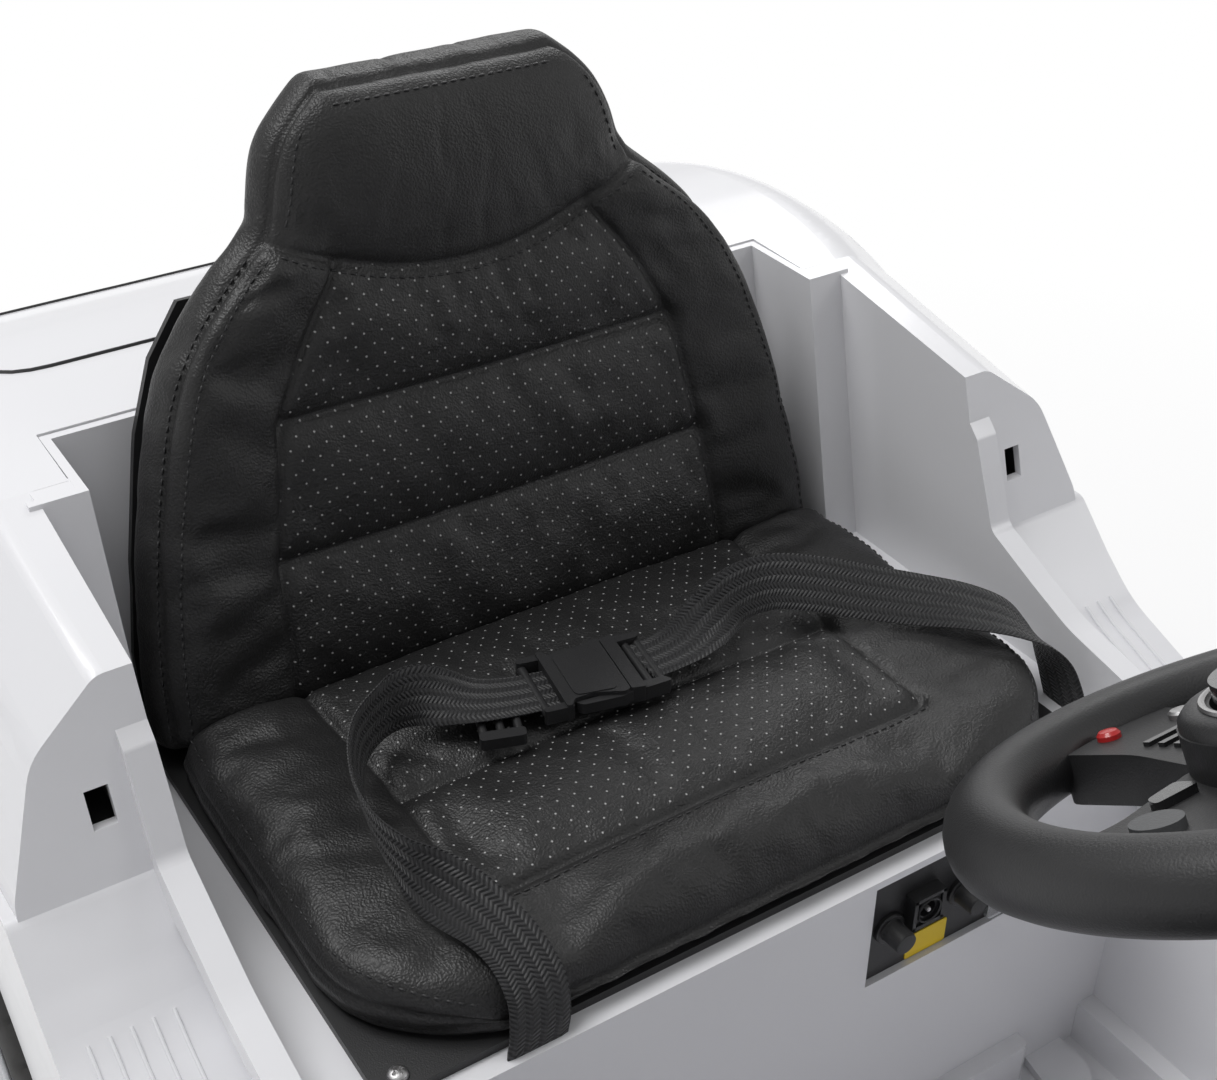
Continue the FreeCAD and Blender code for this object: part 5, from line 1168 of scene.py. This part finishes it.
steerLook = {
    "hub": (0.0, -0.090, 0.498), "tilt": math.radians(34.4), "ring": 0.0855, "grip": 0.0112, "dish": 0.004,
    "ringSteps": 120, "gripSteps": 24, "inside": 0.92, "swell": 0.06, "swellAt": 1.15, "swellWidth": 0.28,
    "arm": ((0.022, -0.019), (0.058, -0.014), (0.080, -0.016), (0.080, 0.018), (0.058, 0.015), (0.022, 0.024)),
    "foot": ((-0.024, 0.020), (0.024, 0.020), (0.017, 0.050), (0.020, 0.079), (-0.020, 0.079), (-0.017, 0.050)),
    "spokeFrom": -0.008, "armTo": 0.0058, "footTo": 0.0065, "spokeCorner": 0.006, "spokeEdge": 0.003,
    "hubHalf": 0.034, "hubWide": 1.02, "hubSteps": 48, "hubFrom": -0.012, "hubTo": 0.0165,
    "hubTop": ((1.0, 0.0164), (0.99, 0.0185), (0.94, 0.0202), (0.84, 0.0208), (0.74, 0.0209), (0.73, 0.0168),
               (0, 0.0167)),  # share of the hub's half width, and height
    "padFrom": 0.0055,
    # each pad's outline, corner, top and edge
    "pads": ((((0.036, 0.009), (0.051, 0.009), (0.049, 0.014), (0.037, 0.016)), 0.002, 0.0082, 0.001),
             (((0.037, -0.014), (0.051, -0.0125), (0.050, -0.009), (0.036, -0.010)), 0.0015, 0.0078, 0.0008)),
    "bars": (0.040, 0.0455, 0.051), "barZ": 0.0068, "barSize": (0.022, 0.0022, 0.0018),
    "brightRing": (0.0270, 60, 0.0210), "brightWire": 0.0011, "brightAt": (0.013, 0.060, 0),
    "brightKey": ((0.0042, 0.006), (0.0042, 0.0078), (0.0034, 0.0085), (0, 0.0087)), "redAt": (-0.006, 0.070, 0),
    "redKey": ((0.0034, 0.006), (0.0034, 0.0078), (0.0026, 0.0088), (0, 0.0092))}


def steeringRing(shape, place):
    points = []
    for turn in turnsOf(steerLook["ringSteps"]):
        fromTop = abs((turn + math.pi / 2) % (2 * math.pi) - math.pi)
        swollen = steerLook["swell"] * hollow(fromTop - steerLook["swellAt"], steerLook["swellWidth"])
        thick = steerLook["grip"] * (1 + swollen)
        for t in turnsOf(steerLook["gripSteps"]):
            inner = 1.0 if math.cos(t) > 0 else steerLook["inside"]
            out = steerLook["ring"] + thick * math.cos(t) * inner
            points.append((out * math.cos(turn), out * math.sin(turn), steerLook["dish"] + thick * math.sin(t)))
    shape.add(points, turnedFaces(steerLook["ringSteps"], steerLook["gripSteps"], True), place)


def makeSteeringWheel():
    tilt = steerLook["tilt"]
    place = facing(steerLook["hub"], (1, 0, 0), (0, math.cos(tilt), -math.sin(tilt)))
    wheel, pads, bright, red = Shape(), Shape(), Shape(), Shape()
    steeringRing(wheel, place)
    low, corner, edge = (steerLook[key] for key in ("spokeFrom", "spokeCorner", "spokeEdge"))
    for side in (-1, 1):
        wheel.slab(rounded(mirrored(steerLook["arm"], side), corner), low, steerLook["armTo"], place, edge, 4)
    wheel.slab(rounded(steerLook["foot"], corner), low, steerLook["footTo"], place, edge, 4)
    half, steps = steerLook["hubHalf"], steerLook["hubSteps"]
    hub = [(half * math.cos(t) * steerLook["hubWide"], half * math.sin(t)) for t in turnsOf(steps)]
    wheel.slab(hub, steerLook["hubFrom"], steerLook["hubTo"], place, 0.0, 1)
    wheel.lathe([(half * share, z) for share, z in steerLook["hubTop"]], place, steps)
    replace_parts(wheel.piece("steeringWheel", "steering", "black_plastic"), "steering_wheel")
    for side in (-1, 1):
        for outline, corner, top, edge in steerLook["pads"]:
            pads.slab(rounded(mirrored(outline, side), corner), steerLook["padFrom"], top, place, edge, 3)
    for y in steerLook["bars"]:
        pads.box((0, y, steerLook["barZ"]), steerLook["barSize"], place)
    pads.piece("wheelPads", "steering", "gloss_black")
    bright.tube(circle(place, *steerLook["brightRing"]), steerLook["brightWire"], 8, True)
    bright.lathe(steerLook["brightKey"], place @ Matrix.Translation(steerLook["brightAt"]), 24)
    bright.piece("wheelBrightTrim", "steering", "bare_steel")
    red.lathe(steerLook["redKey"], place @ Matrix.Translation(steerLook["redAt"]), 24)
    red.piece("wheelRedKey", "steering", "button_red")


cornerCap = {"outline": (0.1835, 0.2005, 0.3342, 0.3470), "corner": 0.001, "z": (0.4040, 0.4109), "edge": 0.0003}
latchCup = {"x": 0.223, "z": 0.3480, "size": (0.0160, 0.0220), "wall": 0.0015, "back": 0.2540,
            "beside": 0.2295, "behind": 0.2600, "edge": 0.0003}  # open box behind each latch slot
floorLook = {"above": 0.30, "corner": 0.004, "edge": 0.003, "rise": 0.0045, "padEdge": 0.002, "screwRise": 0.0004,
             "wallLedge": (0.147, 0.0915, 0.1066, 0.1190),  # half length, front, back, top
             "sideLedge": (0.1885, 0.2024, -0.0600, 0.1066, 0.1140),  # inner, outer, front, back, top
             "pads": (((0.150, 0.056), (0.168, 0.066), (0.180, 0.079), (0.180, 0.106), (0.158, 0.106),
                       (0.154, 0.085)), ((0.160, -0.045), (0.183, -0.045), (0.183, 0.020), (0.160, 0.020))),
             "screws": ((0.177, 0.070), (0.175, -0.054))}
sillRib = {"first": 0.222, "apart": 0.008, "count": 5, "from": 0.06, "step": 0.012, "points": 11, "above": 0.60,
           "lift": 0.0002, "radius": 0.0008}


def latchBox(shape, tree, side):
    z = latchCup["z"]
    face = struck(tree, (side * latchCup["beside"], latchCup["behind"], z), (0, -1, 0))[0].y
    back, wall, edge = latchCup["back"], latchCup["wall"], latchCup["edge"]
    x, middle, deep = side * latchCup["x"], (face + back) / 2, back - face
    wide, tall = latchCup["size"]
    for end in (-1, 1):
        shape.box((x + end * (wide - wall) / 2, middle, z), (wall, deep, tall), Matrix(), edge)
        shape.box((x, middle, z + end * (tall - wall) / 2), (wide, deep, wall), Matrix(), edge)
    shape.box((x, back - wall / 2, z), (wide, wall, tall), Matrix(), edge)


def makeFloorPads(tree):
    floor, studs = Shape(), Shape()
    corner, edge = floorLook["corner"], floorLook["edge"]
    ground = struck(tree, (*floorLook["screws"][0], floorLook["above"]), (0, 0, -1))[0].z
    across, front, back, top = floorLook["wallLedge"]
    floor.slab(rounded(span(-across, across, front, back), corner), ground, top, Matrix(), edge, 3)
    for side in (-1, 1):
        *ledge, top = floorLook["sideLedge"]
        floor.slab(rounded(mirrored(span(*ledge), side), corner), ground, top, Matrix(), edge, 3)
        for pad in floorLook["pads"]:
            floor.slab(rounded(mirrored(pad, side), corner), ground, ground + floorLook["rise"], Matrix(),
                       floorLook["padEdge"], 3)
        for x, y in floorLook["screws"]:
            crossHead(studs, Matrix.Translation((side * x, y, ground + floorLook["screwRise"])), 32, 10)
    floor.piece("floorPads", "chassis", "body_white")
    studs.piece("floorScrews", "chassis", "bare_steel")


def makeTubDetails():
    caps, dark, ribs = Shape(), Shape(), Shape()
    tree = treeOf("cockpit_tub")
    for side in (-1, 1):
        cap = rounded(mirrored(span(*cornerCap["outline"]), side), cornerCap["corner"])
        caps.slab(cap, *cornerCap["z"], Matrix(), cornerCap["edge"], 1)
        latchBox(dark, tree, side)
        for k in range(sillRib["count"]):
            x = side * (sillRib["first"] + sillRib["apart"] * k)
            starts = [(x, sillRib["from"] + sillRib["step"] * n, sillRib["above"]) for n in range(sillRib["points"])]
            ribs.tube(laid(tree, starts, (0, 0, -1), sillRib["lift"]), sillRib["radius"], 8)
    caps.piece("tubCornerCaps", "chassis", "body_white")
    dark.piece("latchPockets", "chassis", "black_plastic")
    makeFloorPads(tree)
    ribs.piece("sillRibs", "chassis", "body_white")


bodyLines = {"gap": 0.0011, "gapLift": 0.0001, "trimLift": 0.0006, "grilleLift": 0.0008, "far": 1.0,
             "lampTrim": 0.0022, "grilleTrim": 0.0036,
             "bonnet": (-0.185, 0.185, -0.500, -0.215, 0.05), "boot": (-0.190, 0.190, 0.440, 0.530, 0.03),
             "headlight": (0.1195, 0.2485, 0.2855, 0.3365, 0.006),
             "taillight": (0.1475, 0.2545, 0.2495, 0.3205, 0.006),
             "grille": (-0.1065, 0.1065, 0.1935, 0.3405, 0.008)}  # two sides, two ends, corner
barePlate = {"at": ((1, 0.118), (-1, 0.205)), "half": (0.052, 0.0145), "corner": 0.003, "z": (-0.001, 0.0022),
             "edge": 0.0008, "studs": (-0.042, 0.042),
             "stud": ((0.0028, 0.002), (0.0028, 0.0032), (0.0018, 0.0038), (0, 0.0039))}


def fromAbove(key):
    return [(x, y, bodyLines["far"]) for x, y in rectangle(*bodyLines[key])]


def fromEnd(key, way, side=1):  # places before the car for a way of 1, behind it for -1
    return [(side * x, -way * bodyLines["far"], z) for x, z in rectangle(*bodyLines[key])]


def makeBodyLines():
    dark, trim, plates = Shape(), Shape(), Shape()
    front, rear = treeOf("front_body", "grille", "headlight_lenses"), treeOf("rear_body")
    tail = treeOf("rear_body", "taillight_lenses")
    for trees, key in ((front, "bonnet"), (rear, "boot")):
        loop = laid(trees, fromAbove(key), (0, 0, -1), bodyLines["gapLift"])
        dark.tube(loop, bodyLines["gap"], 6, True)
    for side in (-1, 1):
        loop = laid(front, fromEnd("headlight", 1, side), (0, 1, 0), bodyLines["trimLift"])
        trim.tube(loop, bodyLines["lampTrim"], 8, True)
    loop = laid(front, fromEnd("grille", 1), (0, 1, 0), bodyLines["grilleLift"])
    trim.tube(loop, bodyLines["grilleTrim"], 10, True)
    for side in (-1, 1):
        loop = laid(tail, fromEnd("taillight", -1, side), (0, -1, 0), bodyLines["trimLift"])
        trim.tube(loop, bodyLines["lampTrim"], 8, True)
    dark.piece("panelGaps", "chassis", "black_plastic")
    trim.piece("lampAndGrilleTrim", "chassis", "gloss_black")
    for way, z in barePlate["at"]:
        hit, _ = struck(treeOf("bumpers", "rear_body"), (0, -way * bodyLines["far"], z), (0, way, 0))
        spot = facing(hit, (way, 0, 0), (0, 0, 1))
        outline = rounded(oblong(*barePlate["half"]), barePlate["corner"])
        plates.slab(outline, *barePlate["z"], spot, barePlate["edge"], 2)
        for x in barePlate["studs"]:
            plates.lathe(barePlate["stud"], spot @ Matrix.Translation((x, 0, 0)), 16)
    plates.piece("barePlates", "chassis", "grey_plastic")


doorLook = {"hinge": (0.250, -0.150), "open": math.radians(60), "outerFrom": (0.50, 0.085, 0.352),
            "innerFrom": (0.05, 0.02, 0.34), "archHalf": 0.030, "archRise": 0.010, "archSteps": 14,
            "archWire": 0.0042, "outerHalf": (0.026, 0.012), "outerCorner": 0.008, "outerZ": (-0.001, 0.0012),
            "outerEdge": 0.0006,
            "innerHalf": (0.045, 0.014), "innerCorner": 0.006, "innerZ": (-0.001, 0.006), "innerEdge": 0.002,
            "ribs": 6, "ribFrom": -0.030, "ribStep": 0.012, "ribZ": 0.0062, "ribSize": (0.004, 0.020, 0.0016),
            "ribEdge": 0.0005}


def makeDoorHandles():
    for side, body in ((1, "door_left"), (-1, "door_right")):
        hinge = Vector((side * doorLook["hinge"][0], doorLook["hinge"][1], 0))
        turn = Matrix.Rotation(-side * doorLook["open"], 4, "Z")
        swing = Matrix.Translation(hinge) @ turn @ Matrix.Translation(-hinge)
        tree, handle = treeOf(body), Shape()

        def onDoor(key, way):  # the door's face where a handle sits
            x, y, z = doorLook[key]
            hit, _ = struck(tree, swing @ Vector((side * x, y, z)), swing.to_3x3() @ Vector((way * side, 0, 0)))
            return facing(hit, swing.to_3x3() @ Vector((0, -way * side, 0)), (0, 0, 1))

        outer, inner = onDoor("outerFrom", -1), onDoor("innerFrom", 1)
        shares = [k / doorLook["archSteps"] for k in range(doorLook["archSteps"] + 1)]
        arch = [(doorLook["archHalf"] * (2 * share - 1), 0.0, doorLook["archRise"] * math.sin(math.pi * share) ** 0.5)
                for share in shares]
        handle.tube([outer @ Vector(spot) for spot in arch], doorLook["archWire"])
        outline = rounded(oblong(*doorLook["outerHalf"]), doorLook["outerCorner"])
        handle.slab(outline, *doorLook["outerZ"], outer, doorLook["outerEdge"])
        outline = rounded(oblong(*doorLook["innerHalf"]), doorLook["innerCorner"])
        handle.slab(outline, *doorLook["innerZ"], inner, doorLook["innerEdge"], 3)
        for k in range(doorLook["ribs"]):
            spot = (doorLook["ribFrom"] + doorLook["ribStep"] * k, 0, doorLook["ribZ"])
            handle.box(spot, doorLook["ribSize"], inner, doorLook["ribEdge"])
        handle.piece("handle" + body.title().replace("_", ""), body, "black_plastic")


dash = {"dialFrom": (0.0, 0.2, 0.424), "ticks": 11, "firstTick": 215, "tickStep": 25, "tickAway": 0.0205,
        "tickZ": 0.0012, "tickSize": (0.0012, 0.0012, 0.001), "tickEdge": 0.0002,
        "needleTurn": 0.7, "needleZ": (0.0014, 0.0022),
        "dial": ((0.030, -0.001), (0.030, 0.004), (0.028, 0.0055), (0.0255, 0.0045), (0.0245, 0.0012), (0, 0.0010)),
        "needle": ((-0.001, -0.004), (0.001, -0.004), (0.0004, 0.017), (-0.0004, 0.017)),
        "vents": 6, "ventX": 0.160, "ventY": 0.2, "ventZ": 0.398, "ventStep": 0.007, "ventWide": 0.044,
        "ventTaper": 0.004, "slatTall": 0.0028, "slatDeep": 0.0022, "slatOut": 0.0004, "slatEdge": 0.0008}
pedalLook = {"ribs": 6, "firstShare": 0.40, "shareStep": 0.10, "wideShare": 0.75, "before": 0.1, "tall": 0.003}


def makeDash():
    tree, dial, needle = treeOf("dashboard"), Shape(), Shape()
    spot = towardsFront(struck(tree, dash["dialFrom"], (0, -1, 0))[0])
    dial.lathe(dash["dial"], spot, 48)
    for k in range(dash["ticks"]):
        turn, away = math.radians(dash["firstTick"] - dash["tickStep"] * k), dash["tickAway"]
        spin = (away * math.cos(turn), away * math.sin(turn), dash["tickZ"])
        dial.box(spin, dash["tickSize"], spot, dash["tickEdge"])
    needle.slab(dash["needle"], *dash["needleZ"], spot @ Matrix.Rotation(dash["needleTurn"], 4, "Z"), 0.0)
    for side in (-1, 1):
        for k in range(dash["vents"]):
            start = (side * dash["ventX"], dash["ventY"], dash["ventZ"] + dash["ventStep"] * k)
            wide = dash["ventWide"] - abs(k - (dash["vents"] - 1) / 2) * dash["ventTaper"]
            dial.box((0, 0, dash["slatOut"]), (wide, dash["slatTall"], dash["slatDeep"]),
                     towardsFront(struck(tree, start, (0, -1, 0))[0]), dash["slatEdge"])
    dial.piece("dashDial", "chassis", "gloss_black")
    needle.piece("dialNeedle", "chassis", "button_red")


def makePedalRibs():
    treads, tree = Shape(), treeOf("pedal")
    low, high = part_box("pedal")
    across = Vector((1, 0, 0))
    for k in range(pedalLook["ribs"]):
        z = low[2] + (high[2] - low[2]) * (pedalLook["firstShare"] + pedalLook["shareStep"] * k)
        hit, normal = struck(tree, ((low[0] + high[0]) / 2, high[1] + pedalLook["before"], z), (0, -1, 0))
        size = ((high[0] - low[0]) * pedalLook["wideShare"], pedalLook["tall"], dash["slatDeep"])
        treads.box((0, 0, dash["slatOut"]), size, facing(hit, across, normal.cross(across)), dash["slatEdge"])
    treads.piece("pedalRibs", "pedal", "tyre_black")


softenEdges()
makeWheels()
makeSteeringWheel()
makeTubDetails()
makeBodyLines()
makeDoorHandles()
makeDash()
makePedalRibs()
print("wheels, steering wheel and body dressed")


studio = {"floor": 30.0, "floorColours": ((0.86, 0.86, 0.87, 1), (0.82, 0.82, 0.83, 1)), "sky": 0.42,
          "whiteFrom": 0.55, "whiteOver": 0.75, "leastWhite": 0.55, "aim": (0, 0.15, 0.3),
          "camera": (-0.325, -0.263, 0.777), "heading": 33.1, "pitch": -33.81, "roll": 0.4, "focal": 1741.0,
          "frameWidth": 1217.0, "sensor": 36.0}
lamps = (("keyLight", (-0.9, 0.9, 2.6), (1.3, 1.3), 40), ("backLight", (1.4, 2.2, 2.0), (1.6, 1.0), 22),
         ("sideLight", (2.2, -1.4, 1.8), (1.2, 1.2), 9))  # place, size, power


def placed(name, data):
    thing = bpy.data.objects.new(name, data)
    bpy.context.scene.collection.objects.link(thing)
    return thing


def paintFloor():  # whiter further from the car, and the shadow stays
    paint = Paint("studioFloor")
    place = paint.where()
    away = paint.node("ShaderNodeVectorMath", {"operation": "LENGTH"}, {0: place}, "Value")
    least = studio["leastWhite"]
    share = ((away - studio["whiteFrom"]) / studio["whiteOver"]).held() * (1 - least) + least
    paint.finish({"Base Color": paint.blend(paint.cloud(place, 3.0) * 0.3, *studio["floorColours"]),
                  "Roughness": 0.8})
    paint.whitened("ShaderNodeEmission", share, "Camera", "Glossy", "Transmission")
    return paint.owner


def makeFloor():
    half = studio["floor"]
    mesh = meshOf("floor", [(x, y, 0) for x, y in oblong(half, half)], [(0, 1, 2, 3)])
    mesh.materials.append(paintFloor())
    placed("floor", mesh)


def softBox(name, place, size, power):
    lamp = bpy.data.lights.new(name, "AREA")
    lamp.energy = power
    lamp.shape = "RECTANGLE"
    lamp.size, lamp.size_y = size
    box = placed(name, lamp)
    box.location = place
    box.rotation_euler = (Vector(studio["aim"]) - Vector(place)).to_track_quat("-Z", "Y").to_euler()


def makeLight():
    world = Paint("studioWorld", bpy.data.worlds.new("studioWorld"))
    bpy.context.scene.world = world.finish({"Color": (1, 1, 1, 1), "Strength": studio["sky"]})
    world.whitened("ShaderNodeBackground", 1.0, "Camera")
    for lamp in lamps:
        softBox(*lamp)


def makeCamera():
    heading, pitch, roll = (math.radians(studio[key]) for key in ("heading", "pitch", "roll"))
    ahead = Vector((math.sin(heading) * math.cos(pitch), math.cos(heading) * math.cos(pitch), math.sin(pitch)))
    right = ahead.cross(Vector((0, 0, 1))).normalized()
    up = right.cross(ahead)
    right = right * math.cos(roll) + up * math.sin(roll)
    up = right.cross(ahead)
    lens = bpy.data.cameras.new("camera")
    lens.sensor_fit = "HORIZONTAL"
    lens.sensor_width = studio["sensor"]
    lens.lens = studio["focal"] / studio["frameWidth"] * lens.sensor_width
    camera = placed("camera", lens)
    turn = Matrix((right, up, -ahead)).transposed().to_4x4()
    camera.matrix_world = Matrix.Translation(Vector(studio["camera"])) @ turn
    bpy.context.scene.camera = camera


makeFloor()
makeLight()
makeCamera()
bpy.context.scene.view_settings.view_transform = "Standard"
print("stage set")
